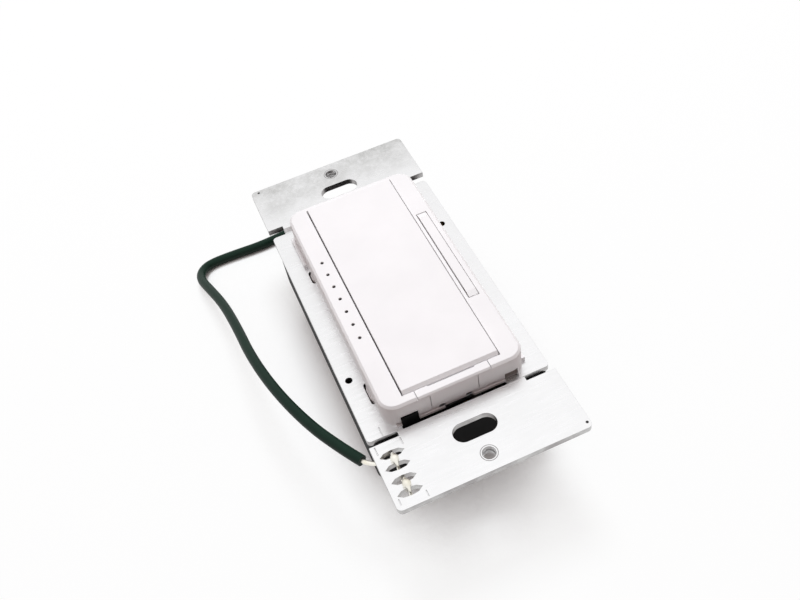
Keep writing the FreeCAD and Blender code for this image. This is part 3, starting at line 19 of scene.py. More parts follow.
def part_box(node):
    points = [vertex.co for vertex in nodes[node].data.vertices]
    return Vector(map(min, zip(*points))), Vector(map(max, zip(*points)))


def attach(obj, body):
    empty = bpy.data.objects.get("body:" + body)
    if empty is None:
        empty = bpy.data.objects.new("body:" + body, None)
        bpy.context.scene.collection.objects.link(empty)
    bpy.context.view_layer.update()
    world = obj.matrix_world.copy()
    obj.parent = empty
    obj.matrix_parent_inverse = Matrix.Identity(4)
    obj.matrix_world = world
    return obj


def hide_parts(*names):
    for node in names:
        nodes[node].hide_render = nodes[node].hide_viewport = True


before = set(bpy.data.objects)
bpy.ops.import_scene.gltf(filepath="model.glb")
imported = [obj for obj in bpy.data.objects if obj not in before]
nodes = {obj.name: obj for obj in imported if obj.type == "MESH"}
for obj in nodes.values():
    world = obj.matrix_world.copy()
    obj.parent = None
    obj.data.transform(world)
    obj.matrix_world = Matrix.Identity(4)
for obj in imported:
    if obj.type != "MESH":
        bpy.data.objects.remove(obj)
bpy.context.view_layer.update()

# %% [markdown]
# ## Millimetres
#
# Blender works in metres, but every size on a switch is read in millimetres. One factor, kept under a
# short name, lets the numbers below stay the ones that a ruler would give.

# %% Units
MM = 0.001


def point(x, y, z):
    """A place on the switch, given in millimetres."""
    return Vector((x, y, z)) * MM


flange_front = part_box("mounting_yoke")[1].z
print("front of the flanges, mm:", round(flange_front / MM, 2))

# %% [markdown]
# ## The camera
#
# A photograph is matched by finding where its camera stood. Known points of the switch, such as the
# corners of the yoke and the two screw slots, fix the place, the direction and the focal length. The
# camera is then built from two directions, forward and up, because a matrix made from them has no
# rounding or order of turns to think about.

# %% Camera
CAMERA_PLACE = point(-33.93, -138.46, 190.15)
CAMERA_FORWARD = Vector((0.1546, 0.6318, -0.7596))
CAMERA_UP = Vector((0.3729, 0.6746, 0.6370))
FOCAL_LENGTH = 41.17  # mm on a sensor 36 mm wide

lens = bpy.data.cameras.new("photo_camera")
lens.lens = FOCAL_LENGTH
lens.sensor_width = 36
lens.clip_start = 5 * MM
lens.clip_end = 20
camera = bpy.data.objects.new("photo_camera", lens)
bpy.context.scene.collection.objects.link(camera)

backward = -CAMERA_FORWARD.normalized()
right = CAMERA_UP.cross(backward).normalized()
upward = backward.cross(right)
turn = Matrix((right, upward, backward)).transposed()
camera.matrix_world = Matrix.Translation(CAMERA_PLACE) @ turn.to_4x4()
bpy.context.scene.camera = camera
bpy.context.scene.view_settings.view_transform = "Standard"
print("camera's distance from the middle of the switch, mm:", round(CAMERA_PLACE.length / MM))

# %% [markdown]
# ## Colours and nodes
#
# Colours are picked as hex values, as in any paint program, but a renderer adds light in linear
# numbers. One function does the change. A second small function adds a shader node, sets its values and
# joins its inputs, so that each material below reads as a list of what it is made of.

# %% Helpers for materials
def linear(hex_colour):
    """An sRGB hex colour as the linear colour that a shader wants."""
    parts = [int(hex_colour[i:i + 2], 16) / 255 for i in (1, 3, 5)]
    return [c / 12.92 if c <= 0.04045 else ((c + 0.055) / 1.055) ** 2.4 for c in parts] + [1.0]


def add(tree, kind, inputs=None, **settings):
    """One node with its settings; each input is a number, a colour or another node's output."""
    node = tree.nodes.new(kind)
    for name, value in settings.items():
        setattr(node, name, value)
    for name, value in (inputs or {}).items():
        if isinstance(value, bpy.types.NodeSocket):
            tree.links.new(value, node.inputs[name])
        else:
            node.inputs[name].default_value = value
    return node


def new_material(name):
    """A material with an empty tree apart from its shader and output."""
    material = bpy.data.materials.new(name)
    material.use_nodes = True
    tree = material.node_tree
    tree.nodes.clear()
    shader = add(tree, "ShaderNodeBsdfPrincipled")
    add(tree, "ShaderNodeOutputMaterial", {"Surface": shader.outputs["BSDF"]})
    return material, tree, shader


def per_metre(size_mm):
    """The scale of a texture whose features are this large."""
    return 1 / (size_mm * MM)


print("mid grey as linear light:", round(linear("#808080")[0], 3))

# %% [markdown]
# ## Moulded plastics
#
# The frame, the paddle, the rocker and the tab are injection-moulded, glossy enough for a soft highlight
# but with the fine spark-eroded grain of their mould. The grain is about 0.1 mm on a real one, which is
# finer than a pixel here, so it is drawn at 0.35 mm. A bevel node rounds every edge by a fifth of a
# millimetre where the light meets it, as a mould does, and broad clouds keep large faces from looking
# printed.

# %% Moulded plastic
CLOUD_MM = 14
GRAIN_MM = 0.35
GRAIN_HEIGHT = 0.02 * MM


def moulded_plastic(name, colour, clouded, roughness, grain=0.12, edge_mm=0.2, shine=0.5):
    """Injection-moulded plastic: its colour, its cloudier tone, its gloss and the mould's grain."""
    material, tree, shader = new_material(name)
    place = add(tree, "ShaderNodeTexCoord").outputs["Object"]
    clouds = add(tree, "ShaderNodeTexNoise", {"Vector": place, "Scale": per_metre(CLOUD_MM), "Detail": 3.0})
    blend = add(tree, "ShaderNodeMapRange", {
        "Value": clouds.outputs["Fac"], "From Min": 0.35, "From Max": 0.7,
    })
    tone = add(tree, "ShaderNodeMix", {
        "Factor": blend.outputs["Result"], 6: linear(colour), 7: linear(clouded),
    }, data_type="RGBA")
    fine = add(tree, "ShaderNodeTexNoise", {"Vector": place, "Scale": per_metre(GRAIN_MM), "Detail": 2.0})
    gloss = add(tree, "ShaderNodeMapRange", {
        "Value": clouds.outputs["Fac"], "To Min": roughness - 0.04, "To Max": roughness + 0.06,
    })
    edge = add(tree, "ShaderNodeBevel", {"Radius": edge_mm * MM}, samples=6)
    relief = add(tree, "ShaderNodeBump", {
        "Height": fine.outputs["Fac"], "Normal": edge.outputs["Normal"],
        "Strength": grain, "Distance": GRAIN_HEIGHT,
    })
    tree.links.new(tone.outputs[2], shader.inputs["Base Color"])
    tree.links.new(gloss.outputs["Result"], shader.inputs["Roughness"])
    tree.links.new(relief.outputs["Normal"], shader.inputs["Normal"])
    shader.inputs["IOR"].default_value = 1.5
    shader.inputs["Specular IOR Level"].default_value = shine
    return material


print("moulded plastic: grain drawn at", GRAIN_MM, "mm")

# %% [markdown]
# ## The plastics of the switch
#
# Polycarbonate keeps its white and its sharp moulded edges, so the front is made of it, and the body and
# the cover behind are the same resin in black and grey. Black plastic is matt here and mirrors little:
# the white room round it is brighter than a real one, and would turn it grey. The electronics inside
# have the resins that such parts are made of.

# %% The plastics
# Polycarbonate, moulded: even white with a soft sheen.
white_polycarbonate = moulded_plastic("white_polycarbonate", "#F7F5F6", "#F2F0F1", 0.36)
# The same resin in black, from a coarser mould: deep and matt.
black_polycarbonate = moulded_plastic(
    "black_polycarbonate", "#070708", "#0C0C0C", 0.6, grain=0.3, shine=0.1,
)
# The same in light grey, with the coarse grain of a part that ends up in the wall.
grey_polycarbonate = moulded_plastic("grey_polycarbonate", "#C3C6C7", "#B9BCBE", 0.48, grain=0.3)
# Filled epoxy, cast round chips and switches: dull black.
black_epoxy = moulded_plastic("black_epoxy", "#1A1A1B", "#222223", 0.55, grain=0.3)
# Acrylic with a dark dye, polished: smooth, and nearly as glossy as glass.
smoked_acrylic = moulded_plastic("smoked_acrylic", "#141414", "#1B1A1A", 0.2, grain=0.0)
# Polyester film dipped in resin: ochre and shiny.
ochre_polyester = moulded_plastic("ochre_polyester", "#B98A1E", "#A87B18", 0.35, grain=0.1)
# Clear epoxy with a diffuser, cast as an LED's lens: milky and smooth.
lens_epoxy = moulded_plastic("lens_epoxy", "#E9E7DA", "#DEDCCF", 0.25, grain=0.0)
# A PVC sleeve shrunk round a capacitor's can: dark blue and smooth.
blue_sleeve = moulded_plastic("blue_sleeve", "#20304C", "#1A2942", 0.3, grain=0.05)
# Nylon, moulded, coloured brown-grey as painted shade for the recess that it fills; half matt.
nylon_painted_shade = moulded_plastic("nylon_painted_shade", "#7C6E68", "#6F635E", 0.5)
print("plastics made: 9")

# %% [markdown]
# ## Mill-finish aluminium
#
# The yoke is stamped from rolled sheet that nobody polishes. Handling leaves clouds a few millimetres
# across, with specks of about a millimetre in them. The upper flange shows most of it, greyer and
# mottled, so a mask along the switch brings the dull tone out there and leaves a tenth of it elsewhere.

# %% Tarnish of the sheet
CLEAN_BELOW = 36 * MM
DULL_ABOVE = 51 * MM
SPECK_MM = 0.9


def tarnish(tree, place, clouds):
    """How dull the sheet is: mottled and specked, and far more so at the upper end."""
    specks = add(tree, "ShaderNodeTexNoise", {"Vector": place, "Scale": per_metre(SPECK_MM), "Detail": 2.0})
    along = add(tree, "ShaderNodeSeparateXYZ", {"Vector": place})
    upper = add(tree, "ShaderNodeMapRange", {
        "Value": along.outputs["Y"], "From Min": CLEAN_BELOW, "From Max": DULL_ABOVE,
    })
    mottle = add(tree, "ShaderNodeMapRange", {
        "Value": clouds, "From Min": 0.38, "From Max": 0.62, "To Min": 0.35, "To Max": 1.0,
    })
    speckle = add(tree, "ShaderNodeMapRange", {
        "Value": specks.outputs["Fac"], "From Min": 0.5, "From Max": 0.75, "To Min": 1.0, "To Max": 0.55,
    })
    patch = add(tree, "ShaderNodeMath", {
        0: mottle.outputs["Result"], 1: speckle.outputs["Result"],
    }, operation="MULTIPLY")
    amount = add(tree, "ShaderNodeMath", {
        0: patch.outputs[0], 1: upper.outputs["Result"],
    }, operation="MULTIPLY")
    everywhere = add(tree, "ShaderNodeMath", {
        0: mottle.outputs["Result"], 1: 0.10, 2: amount.outputs[0],
    }, operation="MULTIPLY_ADD")
    return everywhere.outputs[0]


print("tarnish grows between, mm:", round(CLEAN_BELOW / MM), round(DULL_ABOVE / MM))

# %% [markdown]
# ## Edges, pits and rings
#
# The die shears the sheet's edges, which are rough and grey beside the smooth faces, and their grey is
# deepened as painted shade, because they look aside, away from the lamp. The direction that a face looks in
# tells them apart: a flat face looks along Z, an edge looks aside. Two opposite corners carry a small pit
# from the die's pilot pins, drawn only as a dark spot of painted shade where the hollow would be, and a
# fine grey ring is drawn round each wall-plate hole. Pits and rings depend only on the distance from a point.

# %% Edges, pits and rings
PLATE_HOLE_Y = 48.42  # from the middle of the switch, mm
SHEET_FRONT = flange_front / MM
PUNCH_MARKS = ((-19.9, 51.5, SHEET_FRONT), (21.1, -51.1, SHEET_FRONT))
PLATE_HOLES = ((0.0, PLATE_HOLE_Y, SHEET_FRONT), (0.0, -PLATE_HOLE_Y, SHEET_FRONT))
PIT_RADIUS = 0.25 * MM
PIT_RIM = 0.4 * MM
RING_RADIUS = 1.85 * MM
RING_HALF_WIDTH = 0.09 * MM


def sheared_and_shaded_edges(tree):
    """1 on the sheared edges, whose grey is partly painted shade, 0 on the sheet's faces."""
    facing = add(tree, "ShaderNodeSeparateXYZ", {
        "Vector": add(tree, "ShaderNodeNewGeometry").outputs["True Normal"],
    })
    flatness = add(tree, "ShaderNodeMath", {0: facing.outputs["Z"]}, operation="ABSOLUTE")
    return add(tree, "ShaderNodeMapRange", {
        "Value": flatness.outputs[0], "From Min": 0.25, "From Max": 0.6, "To Min": 1.0, "To Max": 0.0,
    }).outputs["Result"]


def pilot_pit_shade(tree, place):
    """1 in the pits of the pilot pins, which are painted dark as their shade, 0 elsewhere."""
    nearest = 1.0  # a metre: further than any mark
    for mark in PUNCH_MARKS:
        gap = add(tree, "ShaderNodeVectorMath", {0: place, 1: point(*mark)}, operation="DISTANCE")
        closer = add(tree, "ShaderNodeMath", {
            0: gap.outputs["Value"], 1: nearest,
        }, operation="MINIMUM")
        nearest = closer.outputs[0]
    return add(tree, "ShaderNodeMapRange", {
        "Value": nearest, "From Min": PIT_RADIUS, "From Max": PIT_RIM, "To Min": 1.0, "To Max": 0.0,
    }).outputs["Result"]


def grey_hole_rings(tree, place):
    """1 on the ring round each wall-plate hole, 0 elsewhere."""
    rings = 0.0
    for hole in PLATE_HOLES:
        gap = add(tree, "ShaderNodeVectorMath", {0: place, 1: point(*hole)}, operation="DISTANCE")
        ring = add(tree, "ShaderNodeMath", {
            0: gap.outputs["Value"], 1: RING_RADIUS, 2: RING_HALF_WIDTH,
        }, operation="COMPARE")
        either = add(tree, "ShaderNodeMath", {0: ring.outputs[0], 1: rings}, operation="MAXIMUM")
        rings = either.outputs[0]
    return rings


print("pits and rings:", len(PUNCH_MARKS), len(PLATE_HOLES))

# %% [markdown]
# ## The yoke's metal
#
# Now the sheet is put together: clean or dull metal, the edges' grey with its painted shade, then the pits'
# painted shade and the grey rings.
# Rolling leaves faint streaks across the switch, 0.4 mm apart, which change the gloss more than the
# colour, so they steer the roughness and a very shallow bump.

# %% Rolled aluminium sheet
SHEET_CLOUD_MM = 7
STREAK_MM = 0.4
STREAK_STRETCH = (0.06, 1.0, 1.0)  # drawn out sideways
STREAK_HEIGHT = 0.02 * MM


def rolled_aluminium(name, bright, dull, shear_and_shade, roughness):
    """Unpolished sheet: its clean and dull tones, the tone of its sheared edges, darkened as painted shade,
    and its polish.
    """
    material, tree, shader = new_material(name)
    place = add(tree, "ShaderNodeTexCoord").outputs["Object"]
    stretched = add(tree, "ShaderNodeMapping", {"Vector": place, "Scale": STREAK_STRETCH})
    streaks = add(tree, "ShaderNodeTexNoise", {
        "Vector": stretched.outputs["Vector"], "Scale": per_metre(STREAK_MM), "Detail": 3.0,
    })
    clouds = add(tree, "ShaderNodeTexNoise", {
        "Vector": place, "Scale": per_metre(SHEET_CLOUD_MM), "Detail": 6.0, "Roughness": 0.62,
    }).outputs["Fac"]
    face = add(tree, "ShaderNodeMix", {
        "Factor": tarnish(tree, place, clouds), 6: linear(bright), 7: linear(dull),
    }, data_type="RGBA", clamp_factor=True)
    torn = add(tree, "ShaderNodeMapRange", {"Value": clouds, "From Min": 0.4, "From Max": 0.6})
    edge_tone = add(tree, "ShaderNodeMix", {
        "Factor": torn.outputs["Result"], 6: linear(shear_and_shade), 7: linear(dull),
    }, data_type="RGBA")
    # The sheared edges' grey is partly painted shade, for faces that look away from the lamp.
    clean = add(tree, "ShaderNodeMix", {
        "Factor": sheared_and_shaded_edges(tree), 6: face.outputs[2], 7: edge_tone.outputs[2],
    }, data_type="RGBA")
    # A dark spot of painted shade stands for each pilot pit's hollow.
    with_pit_shade = add(tree, "ShaderNodeMix", {
        "Factor": pilot_pit_shade(tree, place), 6: clean.outputs[2], 7: linear("#2E2C2C"),
    }, data_type="RGBA")
    tone = add(tree, "ShaderNodeMix", {
        "Factor": grey_hole_rings(tree, place), 6: with_pit_shade.outputs[2], 7: linear("#9C9A9A"),
    }, data_type="RGBA")
    gloss = add(tree, "ShaderNodeMapRange", {
        "Value": streaks.outputs["Fac"], "From Min": 0.3, "From Max": 0.7,
        "To Min": roughness - 0.06, "To Max": roughness + 0.08,
    })
    edge = add(tree, "ShaderNodeBevel", {"Radius": 0.12 * MM}, samples=6)
    relief = add(tree, "ShaderNodeBump", {
        "Height": streaks.outputs["Fac"], "Normal": edge.outputs["Normal"],
        "Strength": 0.12, "Distance": STREAK_HEIGHT,
    })
    tree.links.new(tone.outputs[2], shader.inputs["Base Color"])
    tree.links.new(gloss.outputs["Result"], shader.inputs["Roughness"])
    tree.links.new(relief.outputs["Normal"], shader.inputs["Normal"])
    shader.inputs["Metallic"].default_value = 1.0
    return material


# Aluminium, rolled and left as it comes from the mill: bright, softly streaked, greyer where it is torn, with
# painted shade on its sheared edges and pilot pits.
sheet_aluminium = rolled_aluminium("sheet_aluminium", "#F4F4F5", "#C9C9C8", "#A6A3A3", 0.3)
print("yoke metal made")

# %% [markdown]
# ## Small metal parts
#
# Brass terminals, zinc-plated screws, the tinned ground conductor and the enamelled copper of the choke
# differ in colour and polish, not in structure. Each is a metal whose gloss wanders a little, with fine
# drawing or turning marks about 0.3 mm apart.

# %% Plated and drawn metals
MARK_MM = 0.3
SPOT_MM = 2.2


def small_metal(name, colour, worn, roughness):
    """Bright metal of a small part: its colour, the tone of its duller spots and its polish."""
    material, tree, shader = new_material(name)
    place = add(tree, "ShaderNodeTexCoord").outputs["Object"]
    marks = add(tree, "ShaderNodeTexNoise", {"Vector": place, "Scale": per_metre(MARK_MM), "Detail": 2.0})
    spots = add(tree, "ShaderNodeTexNoise", {"Vector": place, "Scale": per_metre(SPOT_MM), "Detail": 4.0})
    amount = add(tree, "ShaderNodeMapRange", {
        "Value": spots.outputs["Fac"], "From Min": 0.45, "From Max": 0.75,
    })
    tone = add(tree, "ShaderNodeMix", {
        "Factor": amount.outputs["Result"], 6: linear(colour), 7: linear(worn),
    }, data_type="RGBA")
    gloss = add(tree, "ShaderNodeMapRange", {
        "Value": marks.outputs["Fac"], "To Min": roughness - 0.08, "To Max": roughness + 0.1,
    })
    edge = add(tree, "ShaderNodeBevel", {"Radius": 0.08 * MM}, samples=4)
    relief = add(tree, "ShaderNodeBump", {
        "Height": marks.outputs["Fac"], "Normal": edge.outputs["Normal"],
        "Strength": 0.1, "Distance": 0.02 * MM,
    })
    tree.links.new(tone.outputs[2], shader.inputs["Base Color"])
    tree.links.new(gloss.outputs["Result"], shader.inputs["Roughness"])
    tree.links.new(relief.outputs["Normal"], shader.inputs["Normal"])
    shader.inputs["Metallic"].default_value = 1.0
    return material


# Brass, stamped and tumbled: warm yellow and half bright.
bright_brass = small_metal("bright_brass", "#E2C27A", "#C79F52", 0.3)
# Steel under electroplated zinc: cool grey and half bright.
zinc_steel = small_metal("zinc_steel", "#D5D6D8", "#B7B8B9", 0.34)
# Copper wire drawn through a bath of tin: creamy silver.
tinned_copper = small_metal("tinned_copper", "#F8F5EC", "#E8E1CE", 0.3)
# Copper wire under clear enamel: red-brown and glossy.
enamelled_copper = small_metal("enamelled_copper", "#B4643A", "#9A4F2B", 0.25)
# Iron powder, pressed and painted: dull yellow.
iron_powder = small_metal("iron_powder", "#C9B45A", "#B39C45", 0.6)
print("small metals made: 5")

# %% [markdown]
# ## Green insulation
#
# The lead's insulation is dark green PVC, extruded and slightly waxy. Extrusion leaves long soft ripples
# rather than grain, about 2 mm long. It mirrors less than PVC usually does, because the white room round
# it would turn so dark a green grey.

# %% PVC insulation
RIPPLE_MM = 2.0
PVC_SHINE = 0.16


def extruded_pvc(name, colour, faded, roughness):
    """Soft extruded PVC: its colour, its fainter tone along the ripples and its gloss."""
    material, tree, shader = new_material(name)
    place = add(tree, "ShaderNodeTexCoord").outputs["Object"]
    ripples = add(tree, "ShaderNodeTexNoise", {"Vector": place, "Scale": per_metre(RIPPLE_MM), "Detail": 3.0})
    tone = add(tree, "ShaderNodeMix", {
        "Factor": ripples.outputs["Fac"], 6: linear(colour), 7: linear(faded),
    }, data_type="RGBA")
    gloss = add(tree, "ShaderNodeMapRange", {
        "Value": ripples.outputs["Fac"], "To Min": roughness - 0.06, "To Max": roughness + 0.1,
    })
    relief = add(tree, "ShaderNodeBump", {
        "Height": ripples.outputs["Fac"], "Strength": 0.15, "Distance": 0.05 * MM,
    })
    tree.links.new(tone.outputs[2], shader.inputs["Base Color"])
    tree.links.new(gloss.outputs["Result"], shader.inputs["Roughness"])
    tree.links.new(relief.outputs["Normal"], shader.inputs["Normal"])
    shader.inputs["IOR"].default_value = 1.52
    shader.inputs["Specular IOR Level"].default_value = PVC_SHINE
    return material


# PVC, extruded round the wire: dark green, soft and waxy.
green_pvc = extruded_pvc("green_pvc", "#0A2017", "#152C22", 0.45)
print("insulation made")

# %% [markdown]
# ## The circuit board
#
# The board is glass-epoxy laminate under green solder mask. Copper tracks lie under the mask as slightly
# lighter bands. A brick pattern with bricks 2 mm by 1 mm gives them the right size and direction.

# %% Solder mask
TRACK_WIDTH = 0.15 * MM
TRACK_RUN = 2 * MM
TRACK_SPACING = 1 * MM


def solder_mask(name, colour, track):
    """Green solder mask with tracks showing through."""
    material, tree, shader = new_material(name)
    place = add(tree, "ShaderNodeTexCoord").outputs["Object"]
    tracks = add(tree, "ShaderNodeTexBrick", {
        "Vector": place, "Scale": 1.0, "Mortar Size": TRACK_WIDTH,
        "Brick Width": TRACK_RUN, "Row Height": TRACK_SPACING,
        "Color1": linear(colour), "Color2": linear(colour), "Mortar": linear(track),
    })
    tree.links.new(tracks.outputs["Color"], shader.inputs["Base Color"])
    shader.inputs["Roughness"].default_value = 0.3
    return material


# Epoxy lacquer, printed over laminate and copper: glossy green with paler tracks.
green_mask = solder_mask("green_mask", "#0E4A28", "#1C6B3C")
print("board's finish made")

# %% [markdown]
# ## Dressing the CAD pieces
#
# Each solid already has one material slot, so its finish goes into that slot. A table from piece to
# finish keeps the choice in one place, and a loop checks that no piece was forgotten.

# %% Finishes of the CAD pieces
FINISHES = {
    "mounting_yoke": sheet_aluminium,
    "front_frame": white_polycarbonate,
    "tap_switch": white_polycarbonate,
    "dimming_rocker": white_polycarbonate,
    "service_tab": white_polycarbonate,
    "rocker_pin": zinc_steel,
    "led_light_guide": smoked_acrylic,
    "housing_body": black_polycarbonate,
    "back_cover": grey_polycarbonate,
    "cover_screws": zinc_steel,
    "circuit_board": green_mask,
    "control_chip": black_epoxy,
    "film_capacitor": ochre_polyester,
    "electrolytic_capacitor": blue_sleeve,
    "tap_tactile_switch": black_epoxy,
    "dim_up_tactile_switch": black_epoxy,
    "dim_down_tactile_switch": black_epoxy,
    "indicator_leds": lens_epoxy,
    "power_transistor": black_epoxy,
    "power_transistor_rivet": zinc_steel,
    "filter_choke_core": iron_powder,
    "filter_choke_winding": enamelled_copper,
    "airgap_leaf_contact": bright_brass,
    "airgap_fixed_contact": bright_brass,
    "ground_lead": green_pvc,
    "ground_lead_tip": tinned_copper,
    "ground_conductor": tinned_copper,
}
for number in (1, 2, 3):
    FINISHES[f"terminal_plate_{number}"] = bright_brass
    FINISHES[f"terminal_screw_{number}"] = bright_brass

for name, node in nodes.items():
    finish = FINISHES[name]
    if not node.material_slots:
        node.data.materials.append(finish)
    for material_slot in node.material_slots:
        material_slot.material = finish
print("dressed:", len(nodes))

# %% [markdown]
# ## The ground lead
#
# The lead leaves the yoke's left side, falls in one loose bow to the table, is folded by hand at the far
# corner and lies along the table behind the switch. A real wire has no straight runs between corners, so
# the same points as the solid's become the control points of one smooth NURBS curve with a round bevel.

# %% Ground lead
LEAD_ROUTE = [
    (-24.1, -36.8, 23.7), (-27.0, -31.8, 23.5), (-31.4, -22.4, 22.7), (-35.4, -8.8, 20.7),
    (-37.8, 6.4, 17.2), (-38.5, 20.6, 13.3), (-39.7, 33.6, 9.5), (-41.9, 44.4, 6.0),
    (-43.3, 51.4, 3.4), (-42.6, 55.9, 1.9), (-39.7, 58.5, 1.3), (-33.0, 58.6, 1.3),
    (-22.0, 57.9, 1.3), (-8.0, 60.0, 1.3), (4.0, 60.4, 1.3),
]
LEAD_DIAMETER = 2.55 * MM


def smooth_wire(name, route, radii, radius, finish):
    """A round wire along control points, each with its own share of the radius."""
    data = bpy.data.curves.new(name, "CURVE")
    data.dimensions = "3D"
    data.resolution_u = 24
    data.bevel_depth = radius
    data.bevel_resolution = 8
    data.use_fill_caps = True
    line = data.splines.new("NURBS")
    line.points.add(len(route) - 1)
    for control, place, share in zip(line.points, route, radii):
        control.co = (*point(*place), 1.0)
        control.radius = share
    line.order_u = 3
    line.use_endpoint_u = True
    line.use_smooth = True
    wire = bpy.data.objects.new(name, data)
    bpy.context.scene.collection.objects.link(wire)
    data.materials.append(finish)
    return wire


even = [1.0] * len(LEAD_ROUTE)
lead = smooth_wire("green_ground_lead", LEAD_ROUTE, even, LEAD_DIAMETER / 2, green_pvc)
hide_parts("ground_lead")
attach(lead, "base")
print("lead's control points:", len(LEAD_ROUTE))

# %% [markdown]
# ## The woven conductor
#
# Past the insulation the bare conductor dives behind the flange and is laced twice over a narrow bridge
# of metal between two slots. Each crossing shows as a bright pointed lens, because the wire rises, swells
# a little where it was pressed, and goes down again. The same kind of curve makes it, with a larger
# radius at the top of each crossing.

# %% Conductor through the yoke
WIRE_RADIUS = 0.5 * MM
LACE = [  # x, y, z, and the share of the radius there
    (-24.1, -36.8, 23.7, 1.0), (-22.9, -38.4, 23.7, 1.0), (-19.6, -39.3, 23.6, 1.0),
    (-18.0, -39.4, 23.7, 0.9), (-18.0, -39.4, 25.4, 0.7), (-18.0, -39.45, 26.2, 0.55),
    (-18.0, -40.25, 26.6, 1.15), (-18.0, -41.1, 26.75, 2.15), (-18.0, -41.9, 26.6, 1.15),
    (-18.0, -42.7, 26.2, 0.55), (-18.0, -42.75, 25.4, 0.7), (-18.0, -42.75, 23.7, 0.9),
    (-18.0, -44.3, 23.5, 1.0), (-18.0, -45.85, 23.7, 0.9), (-18.0, -45.85, 25.4, 0.7),
    (-18.0, -45.9, 26.2, 0.55), (-18.0, -46.7, 26.6, 1.15), (-18.0, -47.55, 26.75, 2.15),
    (-18.0, -48.35, 26.6, 1.15), (-18.0, -49.15, 26.2, 0.55), (-18.0, -49.2, 25.4, 0.7),
    (-18.0, -49.2, 23.3, 0.9),
]
lace = [(x, y, z) for x, y, z, share in LACE]
swell = [share for x, y, z, share in LACE]
conductor = smooth_wire("laced_conductor", lace, swell, WIRE_RADIUS, tinned_copper)
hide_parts("ground_conductor")
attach(conductor, "base")
print("conductor's control points:", len(LACE))

# %% [markdown]
# ## Catches of the frame
#
# Two kinds of small catch hold the frame. White hooks reach from its side wall down through scallops in
# the yoke, and show as grey slivers beside it. Opposite each black snap tongue of the housing, a ramped
# catch fills the shallow recess in the end wall; its brown-grey colour is painted shade, which darkens the
# recess. Both are prisms: an outline drawn by its corners and pulled straight, with its edges rounded by a
# tenth of a millimetre, as a mould leaves them.

# %% Hooks and ramped catches
EDGE_ROUNDING = 0.1 * MM


def prism(name, outline, start, end, axis, finish):
    """An outline in millimetres pulled along Z or X, with rounded edges."""
    shape = bmesh.new()
    corners = [point(*(pair + (start,) if axis == "Z" else (start,) + pair)) for pair in outline]
    face = shape.faces.new([shape.verts.new(corner) for corner in corners])
    pulled = bmesh.ops.extrude_face_region(shape, geom=[face])
    reach = (end - start) * MM
    step = Vector((0, 0, reach)) if axis == "Z" else Vector((reach, 0, 0))
    far_end = [corner for corner in pulled["geom"] if isinstance(corner, bmesh.types.BMVert)]
    bmesh.ops.translate(shape, vec=step, verts=far_end)
    bmesh.ops.bevel(
        shape, geom=shape.edges[:], offset=EDGE_ROUNDING, segments=2, affect="EDGES", profile=0.5,
        clamp_overlap=True,
    )
    bmesh.ops.recalc_face_normals(shape, faces=shape.faces)
    data = bpy.data.meshes.new(name)
    shape.to_mesh(data)
    shape.free()
    data.materials.append(finish)
    piece = bpy.data.objects.new(name, data)
    bpy.context.scene.collection.objects.link(piece)
    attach(piece, "base")


HOOK_X = -16.55
HOOK_HALF_WIDTH = 0.42
HOOK_FOOT, HOOK_TOP = 23.5, 24.95
HOOKS = (("frame_hook_low", -22.6, 2.6), ("frame_hook_high", 16.24, 1.7))  # middle and half length, mm
for name, middle, half in HOOKS:
    outer, inner = HOOK_X - HOOK_HALF_WIDTH, HOOK_X + HOOK_HALF_WIDTH
    shoulder = half * 0.5
    sliver = [
        (HOOK_X, middle - half), (inner, middle - shoulder), (inner, middle + shoulder),
        (HOOK_X, middle + half), (outer, middle + shoulder), (outer, middle - shoulder),
    ]
    prism(name, sliver, HOOK_FOOT, HOOK_TOP, "Z", white_polycarbonate)

# The catches are coloured brown-grey as painted shade of the recess that they fill.
RAMP = ((32.52, 24.95), (32.95, 24.95), (33.15, 25.7), (33.0, 26.9), (32.75, 27.15), (32.52, 27.15))
CATCH_FROM, CATCH_TO = 11.35, 14.25  # across the switch, mm
for name, side in (("painted_shade_catch_low", 1), ("painted_shade_catch_high", -1)):
    ramp = [(-side * y, z) for y, z in RAMP]
    prism(name, ramp, side * CATCH_FROM, side * CATCH_TO, "X", nylon_painted_shade)
print("hooks and ramped catches: 4")

# %% [markdown]
# ## Screw threads
#
# The two wall-plate holes are tapped, and the terminal screws show a few turns of thread behind their
# heads. A thread is one triangle carried round a helix. It points inwards in a hole and outwards on a
# screw, so the same function makes both: only the radius of its crest differs.

# %% Threads
TURN_STEPS = 24
RIDGE_SHARE = 0.9  # of a turn's height, the rest is the groove's floor


def thread(name, start, axis, length, root, crest, pitch, finish, slot_name):
    """A helical ridge of triangular section along Z or Y, in millimetres."""
    count = int(length / pitch * TURN_STEPS)
    places = []
    for step in range(count + 1):
        angle = 2 * math.pi * step / TURN_STEPS
        rise = pitch * step / TURN_STEPS
        for radius, offset in ((root, 0.0), (crest, 0.5), (root, 1.0)):
            across, aside = radius * math.cos(angle), radius * math.sin(angle)
            height = rise + offset * pitch * RIDGE_SHARE
            along = (across, aside, height) if axis == "Z" else (across, height, aside)
            places.append(point(*(s + a for s, a in zip(start, along))))
    faces = [(0, 1, 2), (3 * count + 2, 3 * count + 1, 3 * count)]
    for step in range(count):
        for one, two in ((0, 1), (1, 2), (2, 0)):
            here, there = 3 * step, 3 * step + 3
            faces.append((here + one, there + one, there + two, here + two))
    data = bpy.data.meshes.new(name)
    data.from_pydata(places, [], faces)
    shape = bmesh.new()
    shape.from_mesh(data)
    bmesh.ops.recalc_face_normals(shape, faces=shape.faces)
    shape.to_mesh(data)
    shape.free()
    data.materials.append(finish)
    piece = bpy.data.objects.new(name, data)
    bpy.context.scene.collection.objects.link(piece)
    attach(piece, "base")


